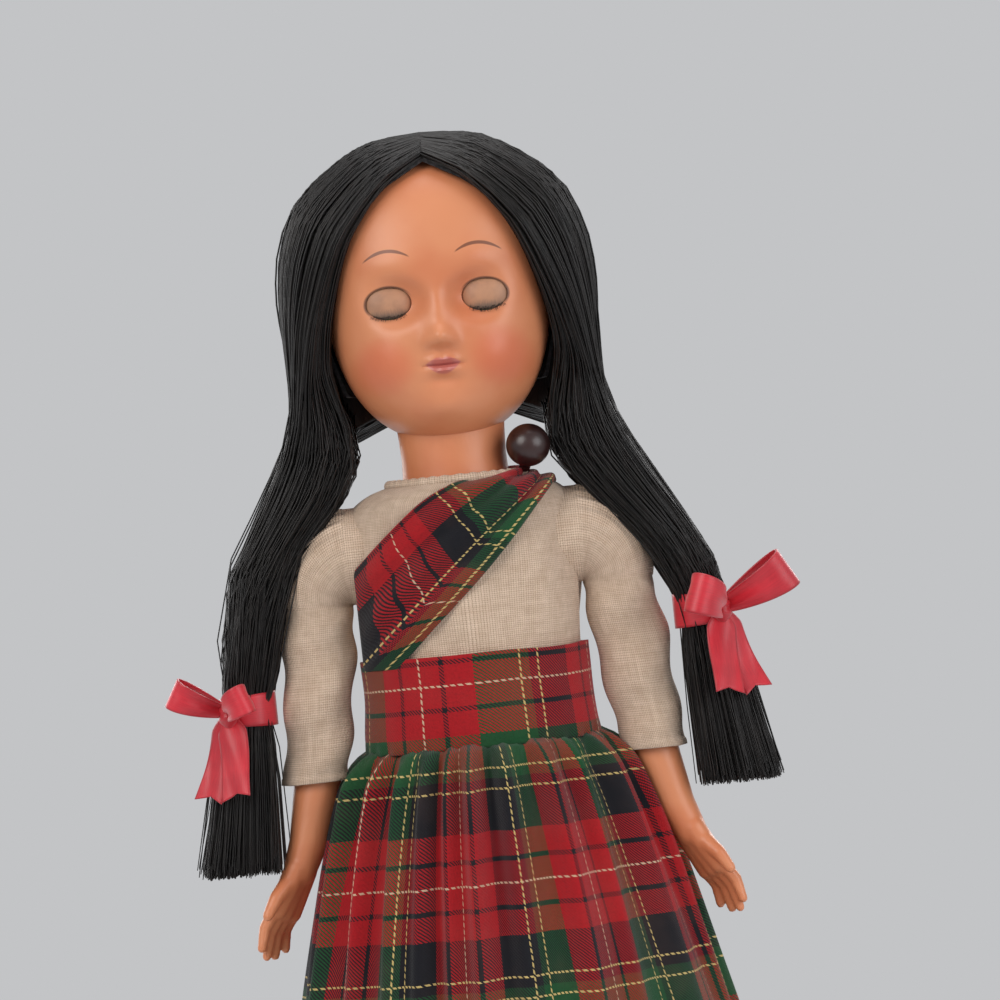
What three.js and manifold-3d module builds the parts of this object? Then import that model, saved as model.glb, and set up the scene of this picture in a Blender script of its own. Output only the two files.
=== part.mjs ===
// Costume doll: a strung, jointed doll with weighted sleep eyes, hair in two tails and a tartan costume.
// Millimetres, +Z up. The doll faces -Y, its left side is +X, and the ground is at Z = 0 between the shoes.
import * as THREE from "three";
import { mergeVertices } from "three/addons/utils/BufferGeometryUtils.js";
import Module from "manifold-3d";

const wasm = await Module();
wasm.setup();

// Driving dimensions: the bare doll
const legLength = 98.8; // hip axis to the underside of the foot
const torsoRise = 42; // hip axis to shoulder axis
const neckRise = 8; // shoulder axis to the centre of the neck ball
const chinRise = 8; // centre of the neck ball to the underside of the chin
const headHeight = 43.5; // chin to crown
const headHalfWidth = 17;
const faceDepth = 15.6;
const headBackDepth = 19;
const headWall = 1.5;
const torsoWall = 1.5;
const shoulderHalf = 15.5; // flat side of the torso that the arm bears on
const crotchHalf = 6; // flat side of the hip tongue that the leg bears on
const hipRadius = 9.2;
const shoulderRadius = 6;
const neckRadius = 8.2;
const neckBallDepth = 3; // the neck's end is a flattened ball
const armDrop = 46; // shoulder axis to the wrist
const upperArmRadius = 4.2;
const wristRadius = 2.7;
const fingerRadius = 0.95;
const thumbRadius = 1.1;
const thighRadius = 7.9;
const ankleRadius = 4.1;
const footLength = 23;

// Driving dimensions: the sleep eyes
const eyeSpacing = 14.2;
const eyeRadius = 4.3;
const eyeRise = 20.7; // chin to the eye axle
const eyeOpeningWidth = 6.6;
const eyeOpeningHeight = 4.9;
const axleRadius = 0.6;
const weightRadius = 2.2;
const weightLength = 8.6;
const weightArm = 8.4; // axle to the centre of the weight
const lidMargin = THREE.MathUtils.degToRad(23); // lash line below the axle while the eye is shut

// Driving dimensions: wire hooks and rubber
const wireRadius = 0.6;
const rubberThick = 1.2;
const rubberWide = 2.2;
const hookReach = 4.2; // length of a hook's stem inside the limb
const hookHoleRadius = 3 * wireRadius + 0.6; // holes of the torso that the hooks pass through
const legLoopRise = torsoRise - 15; // hip axis to the top of the leg elastic
const legLoopHalf = 3.8;
const armLoopHalf = 11.6;
const armLoopDepth = 2.6;

// Driving dimensions: clothes
const clothThick = 0.9;
const waistTop = torsoRise - 16; // hip axis to the upper edge of the waistband
const waistDepth = 13.5;
const skirtLength = 75; // waist seam to hem
const hemHalfWidth = 42;
const hemHalfDepth = 38;
const skirtFolds = 12;
const hemFoldDepth = 1.9;
const sashWidth = 12.5;
const sashLean = THREE.MathUtils.degToRad(42);
const sleeveLength = 33; // shoulder axis to the cuff
const sleeveFolds = 8;
const sockRise = 21; // sole of the foot to the top of the sock
const cuffDepth = 5.5; // turned-down top of the sock
const knitThick = 0.6;
const soleThick = 2.2;
const shoeThick = 1;
const buttonRadius = 3.3;
const snapRadius = 2;

// Driving dimensions: hair and ribbons
const hairThick = 5.6; // at the temples, wig cap included
const capOffset = 0.95; // inside of the wig cap, out from the head
const capThick = 0.55;
const hairTopThick = 2.5;
const tailReach = 35.6; // middle of a hair tail, out from the doll's centre
const leftTailDrop = 38; // shoulder axis to the cut end of the tail
const rightTailDrop = 44;
const leftTieDrop = 13; // shoulder axis to the ribbon
const rightTieDrop = 21;
const tieHalfWidth = 3.6;
const tieHalfDepth = 4.2;
const tieInset = 1.4; // the tail is drawn in by this at the ribbon
const tieForward = -1.8;
const ribbonWide = 4.6;
const ribbonThick = 0.8;
const bowReach = 8.6;
const bowSides = 6; // facets round a ribbon loop

// Clearances
const fitGap = 0.3; // between two pieces that touch on the doll
const runGap = 0.35; // round a piece that turns
const wireGap = 0.3; // round a wire in its hole

// Heights that follow from the dimensions
const hipZ = soleThick + legLength;
const shoulderZ = hipZ + torsoRise;
const neckZ = shoulderZ + neckRise;
const chinZ = neckZ + chinRise;
const eyeZ = chinZ + eyeRise;
const crownZ = chinZ + headHeight;
const waistTopZ = hipZ + waistTop;
const waistSeamZ = waistTopZ - waistDepth;

const far = 400; // reach of a cutting block, past the whole doll

// Materials, one for each finish
const finish = (color, roughness, metalness = 0) =>
  new THREE.MeshStandardMaterial({ color, roughness, metalness });
const skin = finish(0xe39a6b, 0.42);
const lidSkin = finish(0xc9a184, 0.4);
const lash = finish(0x1b1715, 0.8);
const hair = finish(0x17161a, 0.45);
const capNet = finish(0x2a262a, 0.9);
const ribbonRed = finish(0xd02632, 0.5);
const blouseCotton = finish(0xd9c9b4, 0.95);
const tartan = finish(0x8f1f26, 0.95);
const knickerCotton = finish(0xece7dd, 0.95);
const rubber = finish(0x8a7b62, 0.9);
const steel = finish(0x9a9a98, 0.35, 1);
const lead = finish(0x6b6d70, 0.6, 1);
const bracketPlastic = finish(0xcbb9a0, 0.6);
const shoeVinyl = finish(0x141414, 0.3);
const soleVinyl = finish(0x3a2f28, 0.6);
const sockKnit = finish(0xf1efe9, 0.95);
const buttonBrown = finish(0x2b1512, 0.2);

const doll = new THREE.Group();

// Adds a solid to the doll as one named piece.
function piece(name, shape, material) {
  const mesh = new THREE.Mesh(geometryOf(shape), material);
  mesh.name = name;
  doll.add(mesh);
  return mesh;
}

// Turns a closed three.js geometry into a solid that can be cut and joined.
function solidOf(geometry) {
  const bare = geometry.clone();
  bare.deleteAttribute("normal");
  bare.deleteAttribute("uv");
  const merged = mergeVertices(bare, 1e-4);
  return new wasm.Manifold(
    new wasm.Mesh({
      numProp: 3,
      vertProperties: new Float32Array(merged.attributes.position.array),
      triVerts: new Uint32Array(merged.index.array),
    }),
  );
}

function geometryOf(solid) {
  const mesh = solid.getMesh();
  const geometry = new THREE.BufferGeometry();
  geometry.setAttribute("position", new THREE.BufferAttribute(mesh.vertProperties, 3));
  geometry.setIndex(new THREE.BufferAttribute(mesh.triVerts, 1));
  geometry.computeVertexNormals();
  return geometry;
}

const joined = (...solids) => solids.reduce((whole, next) => whole.add(next));
const mirrored = (solid) => solid.mirror([1, 0, 0]);

// A block between two corners, for cutting.
function block(low, high) {
  const size = high.map((v, i) => v - low[i]);
  const geometry = new THREE.BoxGeometry(...size);
  geometry.translate(...low.map((v, i) => v + size[i] / 2));
  return solidOf(geometry);
}

// A solid between closed rings that all have the same number of points. Each end is closed by a fan.
function loft(rings) {
  const sides = rings[0].length;
  const points = rings.flat();
  const triangles = [];
  for (let level = 0; level < rings.length - 1; level++) {
    for (let i = 0; i < sides; i++) {
      const a = level * sides + i;
      const b = level * sides + ((i + 1) % sides);
      triangles.push(a, b, a + sides, b, b + sides, a + sides);
    }
  }
  const closeEnd = (start, turn) => {
    const ring = points.slice(start, start + sides);
    const middle = ring.reduce((sum, p) => sum.add(p), new THREE.Vector3()).divideScalar(sides);
    const centre = points.push(middle) - 1;
    for (let i = 0; i < sides; i++) {
      const pair = [start + i, start + ((i + 1) % sides)];
      triangles.push(centre, pair[turn], pair[1 - turn]);
    }
  };
  closeEnd(0, 1);
  closeEnd((rings.length - 1) * sides, 0);
  const geometry = new THREE.BufferGeometry().setFromPoints(points);
  geometry.setIndex(triangles);
  const made = solidOf(geometry);
  if (made.volume() > 0) return made;
  for (let i = 0; i < triangles.length; i += 3) {
    [triangles[i + 1], triangles[i + 2]] = [triangles[i + 2], triangles[i + 1]];
  }
  geometry.setIndex(triangles);
  return solidOf(geometry);
}

const bulge = (v, squareness) => Math.sign(v) * Math.abs(v) ** (2 / squareness);

// One level ring: half-width, depth in front of the middle and depth behind it.
function ring(z, halfWidth, front, back, { sides, squareness = 2, x = 0, y = 0, wave = () => 1 }) {
  return Array.from({ length: sides }, (_, i) => {
    const angle = (2 * Math.PI * i) / sides;
    const across = halfWidth * bulge(Math.sin(angle), squareness) * wave(angle);
    const along = bulge(Math.cos(angle), squareness) * wave(angle);
    return new THREE.Vector3(x + across, y - along * (along > 0 ? front : back), z);
  });
}

// Smooth values between stations, each a list of numbers, by a Catmull-Rom curve.
function between(stations, share) {
  const last = stations.length - 1;
  const spot = Math.min(share * last, last - 1e-9);
  const i = Math.floor(spot);
  const t = spot - i;
  const at = (n) => stations[Math.max(0, Math.min(last, n))];
  return stations[0].map((_, k) => {
    const [p, q, r, s] = [at(i - 1)[k], at(i)[k], at(i + 1)[k], at(i + 2)[k]];
    return q + 0.5 * t * (r - p + t * (2 * p - 5 * q + 4 * r - s + t * (3 * (q - r) + s - p)));
  });
}

// A limb or lock hanging down: stations of [x, y, z, half-width, half-depth], swollen by grow all round.
function limb(stations, { sides, steps, grow = 0, wave = () => () => 1, lift = 0, drop = 0 }) {
  const rings = [];
  for (let step = 0; step <= steps; step++) {
    const share = step / steps;
    const [x, y, z, halfWidth, halfDepth] = between(stations, share);
    const end = step === 0 ? lift : step === steps ? -drop : 0;
    const depth = halfDepth + grow;
    rings.push(ring(z + end, halfWidth + grow, depth, depth, { sides, x, y, wave: wave(share) }));
  }
  return loft(rings);
}

// A turned solid about an axis along X: profile points of [x, radius].
function turnedAboutX(profile, sides) {
  const points = profile.map(([x, radius]) => new THREE.Vector2(radius, x));
  const geometry = new THREE.LatheGeometry(points, sides);
  geometry.rotateZ(-Math.PI / 2);
  return facingOut(geometry);
}

// A turned solid about Z: profile points of [radius, z].
function turnedAboutZ(profile, sides) {
  const geometry = new THREE.LatheGeometry(profile.map((p) => new THREE.Vector2(...p)), sides);
  geometry.rotateX(Math.PI / 2);
  return facingOut(geometry);
}

// Lathe faces follow the direction of their profile, so an inside-out solid is rebuilt the other way round.
function facingOut(geometry) {
  const made = solidOf(geometry);
  if (made.volume() > 0) return made;
  const index = geometry.index.array;
  for (let i = 0; i < index.length; i += 3) {
    [index[i + 1], index[i + 2]] = [index[i + 2], index[i + 1]];
  }
  return solidOf(geometry);
}

// A round wire through points, with closed ends.
function wire(points, radius, steps, sides = 3) {
  const section = new THREE.Shape().absarc(0, 0, radius, 0, 2 * Math.PI);
  const path = new THREE.CatmullRomCurve3(points.map((p) => new THREE.Vector3(...p)));
  const geometry = new THREE.ExtrudeGeometry(section, {
    steps,
    extrudePath: path,
    curveSegments: sides,
  });
  return solidOf(geometry);
}

function straightWire(from, to, radius, sides = 10) {
  const start = new THREE.Vector3(...from);
  const along = new THREE.Vector3(...to).sub(start);
  const geometry = new THREE.CylinderGeometry(radius, radius, along.length(), sides);
  geometry.applyQuaternion(
    new THREE.Quaternion().setFromUnitVectors(new THREE.Vector3(0, 1, 0), along.clone().normalize()),
  );
  geometry.translate(...start.addScaledVector(along, 0.5).toArray());
  return solidOf(geometry);
}

function ball(centre, radii, across = 16, up = 10) {
  const geometry = new THREE.SphereGeometry(1, across, up);
  geometry.rotateX(Math.PI / 2);
  geometry.scale(...radii);
  geometry.translate(...centre);
  return solidOf(geometry);
}

// A flat outline in the XZ plane, given depth along Y.
function slabXZ(shape, yLow, yHigh, curveSegments = 12) {
  const geometry = new THREE.ExtrudeGeometry(shape, {
    depth: yHigh - yLow,
    bevelEnabled: false,
    curveSegments,
  });
  geometry.rotateX(Math.PI / 2);
  geometry.translate(0, yHigh, 0);
  return solidOf(geometry);
}

// A flat outline in the YZ plane, given width along X.
function slabYZ(shape, xLow, xHigh, curveSegments = 12) {
  const geometry = new THREE.ExtrudeGeometry(shape, {
    depth: xHigh - xLow,
    bevelEnabled: false,
    curveSegments,
  });
  geometry.rotateX(Math.PI / 2);
  geometry.rotateZ(Math.PI / 2);
  geometry.translate(xLow, 0, 0);
  return solidOf(geometry);
}

// A long ring with round ends: the outline of a rubber loop, round [0, low] and [0, high].
function loopShape(low, high, half, thick) {
  const shape = new THREE.Shape();
  shape.absarc(0, high, half, 0, Math.PI, false);
  shape.absarc(0, low, half, Math.PI, 2 * Math.PI, false);
  const hole = new THREE.Path();
  hole.absarc(0, high, half - thick, 0, Math.PI, false);
  hole.absarc(0, low, half - thick, Math.PI, 2 * Math.PI, false);
  shape.holes.push(hole);
  return shape;
}

// Torso

// Height as a share of the torso's rise, half-width, depth in front and depth behind.
const torsoStations = [
  [-0.225, 5.5, 5, 5.4],
  [-0.18, 9.5, 7.4, 8],
  [-0.06, 14, 9.4, 10.8],
  [0.1, 15.3, 10.9, 11.6],
  [0.28, 15, 11.5, 10.6],
  [0.5, 14.1, 10.7, 9.2],
  [0.72, 15, 10.4, 9.6],
  [0.92, 15.9, 9.7, 9.4],
  [1 + (0.21 * neckRise) / torsoRise, 15.5, 9.3, 9.2],
  [1 + (0.63 * neckRise) / torsoRise, 14.2, 9.3, 9.3],
  [1 + (0.9975 * neckRise) / torsoRise, neckRadius + 3, neckRadius + 1.3, neckRadius + 1.3],
];

// The torso's outside, swollen by grow: negative for the hollow, positive for cloth lying on it.
function torsoForm(grow, sides, steps) {
  const rings = [];
  for (let step = 0; step <= steps; step++) {
    const [share, halfWidth, front, back] = between(torsoStations, step / steps);
    const end = step === 0 ? -grow : step === steps ? grow : 0;
    const shape = { sides, squareness: 2.3 };
    rings.push(ring(hipZ + share * torsoRise + end, halfWidth + grow, front + grow, back + grow, shape));
  }
  return loft(rings);
}

// Depth of the bare torso behind its middle, at a height.
function torsoBackAt(z) {
  let [low, high] = [0, 1];
  for (let halving = 0; halving < 24; halving++) {
    const share = (low + high) / 2;
    const below = hipZ + between(torsoStations, share)[0] * torsoRise < z;
    [low, high] = below ? [share, high] : [low, share];
  }
  return between(torsoStations, low)[3];
}

// The space that the legs take: the hip discs and all below the hip axis, without the tongue between them.
function legSpace(clearance) {
  const below = block([-far, -far, 0], [far, far, hipZ]);
  const tongue = hipCylinder(-crotchHalf, crotchHalf, hipRadius - clearance);
  const disc = hipCylinder(crotchHalf, far, hipRadius + clearance);
  return joined(below.subtract(tongue), disc, mirrored(disc));
}

const hipCylinder = (low, high, radius) => straightWire([low, 0, hipZ], [high, 0, hipZ], radius, 28);
const shoulderAxis = (radius) => straightWire([-far, 0, shoulderZ], [far, 0, shoulderZ], radius, 14);

function makeTorso() {
  const flatSides = block([-shoulderHalf, -far, 0], [shoulderHalf, far, far]);
  const outside = torsoForm(0, 18, 9).intersect(flatSides).subtract(legSpace(runGap));
  const innerHalf = shoulderHalf - torsoWall;
  const ceiling = neckZ - neckBallDepth - runGap - torsoWall;
  const hollow = torsoForm(-torsoWall, 14, 7)
    .intersect(block([-innerHalf, -far, hipZ + torsoWall], [innerHalf, far, ceiling]))
    .subtract(legSpace(runGap + torsoWall));
  const tongueInner = crotchHalf - torsoWall;
  const tongueDeep = hipRadius * 0.55;
  const tongueTop = hipZ + hipRadius + 2 * torsoWall;
  const tongueHollow = block(
    [-tongueInner, -tongueDeep, hipZ - tongueDeep], [tongueInner, tongueDeep, tongueTop],
  );
  const cupRadius = neckRadius + runGap;
  const neckCup = ball([0, 0, neckZ], [cupRadius, cupRadius, neckBallDepth + runGap], 14, 8);
  const hookHole = straightWire([0, 0, shoulderZ - shoulderRadius], [0, 0, neckZ], hookHoleRadius - 0.2, 10);
  const armHoles = shoulderAxis(hookHoleRadius);
  const legHoles = straightWire([-far, 0, hipZ], [far, 0, hipZ], hookHoleRadius, 10);
  const shell = outside.subtract(joined(hollow, tongueHollow, neckCup, hookHole, armHoles, legHoles));
  const seam = fitGap / 2;
  piece("torso_front", shell.intersect(block([-far, -far, 0], [far, -seam, far])), skin);
  piece("torso_back", shell.intersect(block([-far, seam, 0], [far, far, far])), skin);
}

// A wire hook from x = stem down to the rubber, drawn round a strand whose outer side is at x = strand.
// It lies in the XZ plane, and the opening faces down.
function hookPath(stem, strand) {
  const over = strand - rubberThick / 2;
  const inner = strand - rubberThick - wireRadius - wireGap;
  const top = rubberWide / 2 + wireRadius + wireGap;
  return [
    [stem, 0, 0],
    [strand + wireRadius + 1.1, 0, 0],
    [strand + wireRadius + wireGap, 0, top * 0.62],
    [over, 0, top + 0.25],
    [inner - 0.1, 0, top * 0.62],
    [inner - 0.15, 0, -0.2],
    [inner + 0.1, 0, -1.5],
  ];
}

function makeStringing() {
  const armLoopEnd = armLoopHalf - armLoopDepth;
  const armLoop = loopShape(-armLoopEnd, armLoopEnd, armLoopDepth, rubberThick);
  const armRubber = slabXZ(armLoop, -rubberWide / 2, rubberWide / 2, 4)
    .rotate([0, 90, 0])
    .rotate([90, 0, 0])
    .translate([0, 0, shoulderZ]);
  piece("arm_elastic", armRubber, rubber);

  const legLoop = loopShape(0, legLoopRise - legLoopHalf, legLoopHalf, rubberThick);
  const legRubber = slabXZ(legLoop, -rubberWide / 2, rubberWide / 2, 4).translate([0, 0, hipZ]);
  piece("leg_elastic", legRubber, rubber);

  const shoulderHook = wire(hookPath(shoulderHalf + hookReach, armLoopHalf), wireRadius, 9)
    .translate([0, 0, shoulderZ]);
  piece("shoulder_hook_left", shoulderHook, steel);
  piece("shoulder_hook_right", mirrored(shoulderHook), steel);

  const hipHook = wire(hookPath(crotchHalf + hookReach, legLoopHalf), wireRadius, 9)
    .rotate([90, 0, 0])
    .translate([0, 0, hipZ]);
  piece("hip_hook_left", hipHook, steel);
  piece("hip_hook_right", mirrored(hipHook), steel);
}

// Head

const headWidest = 24 / 43.5; // share of the head's height
const browRise = 22.5 / 43.5;

// Share of the full half-size at a height, for a form that closes at both ends.
function swell(height, widest, low, high, lowPower, highPower) {
  const away = height - widest;
  const [share, power] = away < 0 ? [-away / low, lowPower] : [away / high, highPower];
  return Math.max(0, 1 - share ** power) ** (1 / power);
}

const hill = (x, z, atX, atZ, wide, tall) => Math.exp(-(((x - atX) / wide) ** 2) - ((z - atZ) / tall) ** 2);

// How far the face stands proud of the plain head, from heights above the chin.
function faceRelief(x, z) {
  const side = Math.abs(x);
  const nose = 2.7 * hill(x, z, 0, 14.8, 1.9, 1.9) + 1.1 * hill(x, z, 0, 18, 1.7, 3);
  const lips = 0.9 * hill(x, z, 0, 11.6, 3, 0.8) + 0.8 * hill(x, z, 0, 9.9, 2.5, 0.8);
  const chin = 1.1 * hill(x, z, 0, 4.2, 4.2, 2.6);
  const cheek = 0.9 * hill(side, z, 8.6, 11, 4.2, 4.4);
  const socket = -0.7 * hill(side, z, eyeSpacing / 2, eyeRise, 4.4, 3.4);
  return nose + lips + chin + cheek + socket;
}

// The head's outside above the chin, swollen by grow. The face is modelled only on the skin itself.
function headForm(grow, sides, levels, withFace = false) {
  const rings = [];
  const widest = headHeight * headWidest;
  const brow = headHeight * browRise;
  const poleShare = 0.4; // the first and last rings lie close to the poles
  for (let level = 1; level < levels; level++) {
    const turn = (Math.PI * (poleShare + ((levels - 2 * poleShare) * (level - 1)) / (levels - 2))) / levels;
    const height = -grow + ((headHeight + 2 * grow) * (1 - Math.cos(turn))) / 2;
    const low = widest + grow;
    const high = headHeight - widest + grow;
    const halfWidth = (headHalfWidth + grow) * swell(height, widest, low, high, 2.3, 2.1);
    const front = (faceDepth + grow) * swell(height, brow, brow + grow, headHeight - brow + grow, 3.3, 2.2);
    const back = (headBackDepth + grow) * swell(height, widest, low, high, 2.2, 2.1);
    const points = ring(height, halfWidth, front, back, { sides, squareness: 2.3 });
    points.forEach((p) => {
      if (withFace && p.y < 0) p.y -= faceRelief(p.x, p.z) * Math.min(1, -p.y / 6);
    });
    rings.push(points);
  }
  return loft(rings).translate([0, 0, chinZ]);
}

// The neck is moulded with the head and ends in a flattened ball that turns in the torso's cup.
function neckForm(radius, bottom, depth, top) {
  return turnedAboutZ(
    [
      [0, bottom],
      [radius * 0.55, bottom + depth * 0.16],
      [radius * 0.87, bottom + depth * 0.5],
      [radius, bottom + depth],
      [radius * 0.97, bottom + depth + 2],
      [radius * 0.97, top],
      [0, top],
    ],
    16,
  );
}

const neckFloorZ = neckZ - neckBallDepth + headWall; // inside of the neck's end

const eyeY = -faceDepth + 6.1; // axle of the eyes, behind the face
const eyeX = eyeSpacing / 2;

function makeHead() {
  const neck = neckForm(neckRadius, neckZ - neckBallDepth, neckBallDepth, chinZ + 6);
  const boreRadius = neckRadius - headWall - 0.7;
  const neckBore = turnedAboutZ(
    [
      [0, neckFloorZ],
      [boreRadius * 0.8, neckFloorZ],
      [boreRadius, neckFloorZ + 1.5],
      [boreRadius, chinZ + 8],
      [0, chinZ + 8],
    ],
    12,
  );
  const hookHole = straightWire([0, 0, 0], [0, 0, chinZ], wireRadius + wireGap, 10);
  const openings = [-1, 1].map((side) => {
    const outline = new THREE.Shape().absellipse(
      side * eyeX, eyeZ, eyeOpeningWidth / 2, eyeOpeningHeight / 2, 0, 2 * Math.PI, false, 0,
    );
    return slabXZ(outline, -far, eyeY, 9);
  });
  const sockets = [-1, 1].map((side) =>
    ball([side * eyeX, eyeY, eyeZ], Array(3).fill(eyeRadius + runGap), 12, 8),
  );
  const shell = headForm(0, 30, 16, true)
    .add(neck)
    .subtract(joined(headForm(-headWall, 14, 8), neckBore, hookHole, ...openings, ...sockets));
  const seamY = 1.5; // the mould seam runs down behind the ears
  piece("head_front", shell.intersect(block([-far, -far, 0], [far, seamY - fitGap / 2, far])), skin);
  piece("head_back", shell.intersect(block([-far, seamY + fitGap / 2, 0], [far, far, far])), skin);
}

// The hook that draws the head down on to the leg elastic, with a washer inside the neck.
function makeNeckHook() {
  const washerZ = neckFloorZ + fitGap;
  const washerRadius = 3.2;
  const washerThick = 0.9;
  const pinZ = washerZ + washerThick + wireRadius + wireGap + 0.1;
  const loopTop = hipZ + legLoopRise;
  const clear = rubberWide / 2 + wireRadius + wireGap;
  const hook = wire(
    [
      [0, 0, pinZ + 0.5],
      [0, 0, loopTop + 5],
      [0, 0, loopTop + wireRadius + 1.6],
      [0, -clear * 0.8, loopTop + wireRadius],
      [0, -clear, loopTop - rubberThick / 2],
      [0, -clear * 0.6, loopTop - rubberThick - wireRadius - wireGap - 0.2],
      [0, 0.4, loopTop - rubberThick - wireRadius - wireGap - 0.4],
    ],
    wireRadius,
    12,
  );
  const washer = turnedAboutZ(
    [
      [wireRadius + wireGap, washerZ],
      [washerRadius, washerZ],
      [washerRadius, washerZ + washerThick],
      [wireRadius + wireGap, washerZ + washerThick],
      [wireRadius + wireGap, washerZ],
    ],
    10,
  );
  const pinHalf = washerRadius * 0.75;
  const crossPin = straightWire([-pinHalf, 0, pinZ], [pinHalf, 0, pinZ], wireRadius, 8);
  piece("neck_hook", hook.add(crossPin), steel);
  piece("neck_washer", washer, steel);
}

// Sleep eyes, modelled shut: the lid is at the front, and the weight lies behind the axle.
function makeEyes() {
  const axleHole = straightWire([-far, eyeY, eyeZ], [far, eyeY, eyeZ], axleRadius + wireGap, 10);
  const keepFront = block([-far, -far, 0], [far, eyeY + eyeRadius * 0.45, far]);
  const lashPlate = new THREE.Shape();
  const lashSpan = THREE.MathUtils.degToRad(14);
  const lashReach = 1.9;
  const lashThick = 0.35;
  lashPlate.absarc(0, 0, eyeRadius + lashReach, -Math.PI / 2 - lashSpan, -Math.PI / 2 + lashSpan, false);
  lashPlate.absarc(0, 0, eyeRadius + fitGap, -Math.PI / 2 + lashSpan, -Math.PI / 2 - lashSpan, true);
  const lashGeometry = new THREE.ExtrudeGeometry(lashPlate, {
    depth: lashThick,
    bevelEnabled: false,
    curveSegments: 3,
  });
  lashGeometry.rotateX(lidMargin);
  [["left", 1], ["right", -1]].forEach(([side, sign]) => {
    const centre = [sign * eyeX, eyeY, eyeZ];
    const eyeball = ball(centre, Array(3).fill(eyeRadius), 12, 8).intersect(keepFront).subtract(axleHole);
    piece(`eye_${side}`, eyeball, lidSkin);
    piece(`eyelash_${side}`, solidOf(lashGeometry).translate(centre), lash);
  });
  const axleHalf = eyeX + eyeRadius * 0.7;
  const axle = straightWire([-axleHalf, eyeY, eyeZ], [axleHalf, eyeY, eyeZ], axleRadius);
  const armEnd = eyeY + weightArm + weightRadius * 0.6;
  const arm = straightWire([0, eyeY, eyeZ], [0, armEnd, eyeZ], axleRadius);
  piece("eye_rocker", axle.add(arm), steel);
  const weightHalf = weightLength / 2;
  const weightEdge = 0.6;
  const weight = turnedAboutX(
    [
      [-weightHalf, 0],
      [-weightHalf, weightRadius * 0.8],
      [-weightHalf + weightEdge, weightRadius],
      [weightHalf - weightEdge, weightRadius],
      [weightHalf, weightRadius * 0.8],
      [weightHalf, 0],
    ],
    10,
  ).translate([0, eyeY + weightArm, eyeZ]);
  const armHole = straightWire([0, eyeY, eyeZ], [0, armEnd + fitGap, eyeZ], axleRadius + fitGap);
  piece("eye_weight", weight.subtract(armHole), lead);
}

// The saddle inside the bridge of the nose that the eye axle turns in.
function makeEyeBracket() {
  const lugInner = axleRadius + 0.5;
  const lugThick = 0.95;
  const lugRadius = 1.7;
  const backThick = 0.9;
  const side = new THREE.Shape();
  const baseY = -faceDepth + headWall + 1;
  side.moveTo(baseY, -lugRadius);
  side.lineTo(eyeY, -lugRadius);
  side.absarc(eyeY, 0, lugRadius, -Math.PI / 2, Math.PI / 2, false);
  side.lineTo(baseY, lugRadius);
  const bore = straightWire([-far, eyeY, eyeZ], [far, eyeY, eyeZ], axleRadius + 0.08, 10);
  const outerHalf = lugInner + lugThick;
  const slot = block([-lugInner, baseY + backThick, 0], [lugInner, far, far]);
  const wedge = headForm(-headWall - fitGap, 24, 13);
  const saddle = slabYZ(side, -outerHalf, outerHalf, 6).translate([0, 0, eyeZ]);
  const root = block([-outerHalf, -far, eyeZ - lugRadius], [outerHalf, baseY + backThick, eyeZ + lugRadius])
    .intersect(wedge);
  piece("eye_bracket", saddle.add(root).subtract(slot).subtract(bore), bracketPlastic);
}

// Hair

// The window that leaves the face free of hair, as an outline seen from the front.
function faceWindow(margin) {
  const outline = new THREE.Shape();
  const halfCheek = headHalfWidth - 1.6 + margin;
  const peak = chinZ + headHeight - 3.4 + margin;
  outline.moveTo(-halfCheek, 0);
  outline.lineTo(-halfCheek, chinZ + 16);
  outline.bezierCurveTo(-halfCheek, chinZ + 29, -11 - margin, chinZ + 35, 0, peak);
  outline.bezierCurveTo(11 + margin, chinZ + 35, halfCheek, chinZ + 29, halfCheek, chinZ + 16);
  outline.lineTo(halfCheek, 0);
  return slabXZ(outline, -far, -1.5, 6);
}

const hairFoot = chinZ + 2; // the hair on the head ends here, and the tails hang from it

// The outside of the combed hair: round on top, then falling straight past the cheeks.
function hairEnvelope() {
  const rings = [];
  const levels = 10;
  const top = headHeight + hairTopThick;
  const widest = headHeight * 0.45;
  for (let level = 0; level < levels; level++) {
    const height = top * (1 - Math.cos((Math.PI * (level + (levels - level) * 0.5)) / levels)) / 2;
    const over = swell(Math.max(height, widest), widest, widest, top - widest, 2, 2.3);
    const halfWidth = (headHalfWidth + hairThick + 0.6) * over;
    const front = (faceDepth + 0.8 * hairTopThick) * over;
    const back = (headBackDepth + hairThick * 0.75) * over;
    rings.push(ring(height, halfWidth, front, back, { sides: 24, squareness: 2.2 }));
  }
  const below = rings[0].map((p) => new THREE.Vector3(p.x, p.y, hairFoot - chinZ));
  return loft([below, ...rings]).translate([0, 0, chinZ]);
}

function makeWig() {
  const capKeep = block([-far, -far, chinZ + 8], [far, far, far]);
  const cap = headForm(capOffset + capThick, 18, 9)
    .subtract(headForm(capOffset, 18, 9))
    .intersect(capKeep)
    .subtract(faceWindow(1.2));
  piece("wig_cap", cap, capNet);
  const neckRoom = straightWire([0, 0, 0], [0, 0, chinZ + 10], neckRadius + 2.6, 14);
  const scalp = headForm(capOffset + capThick + fitGap, 18, 9);
  const combed = hairEnvelope().subtract(joined(scalp, faceWindow(0), neckRoom));
  const parting = fitGap / 2;
  const groove = new THREE.Shape();
  const grooveHalf = 1.3;
  groove.moveTo(0, crownZ + 0.4 * hairTopThick);
  groove.lineTo(grooveHalf, crownZ + 1.4 * hairTopThick);
  groove.lineTo(-grooveHalf, crownZ + 1.4 * hairTopThick);
  const valley = slabXZ(groove, -far, headBackDepth * 0.3);
  const leftHalf = combed.subtract(valley).intersect(block([parting, -far, hairFoot], [far, far, far]));
  piece("hair_left", leftHalf, hair);
  piece("hair_right", mirrored(leftHalf), hair);
}

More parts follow.
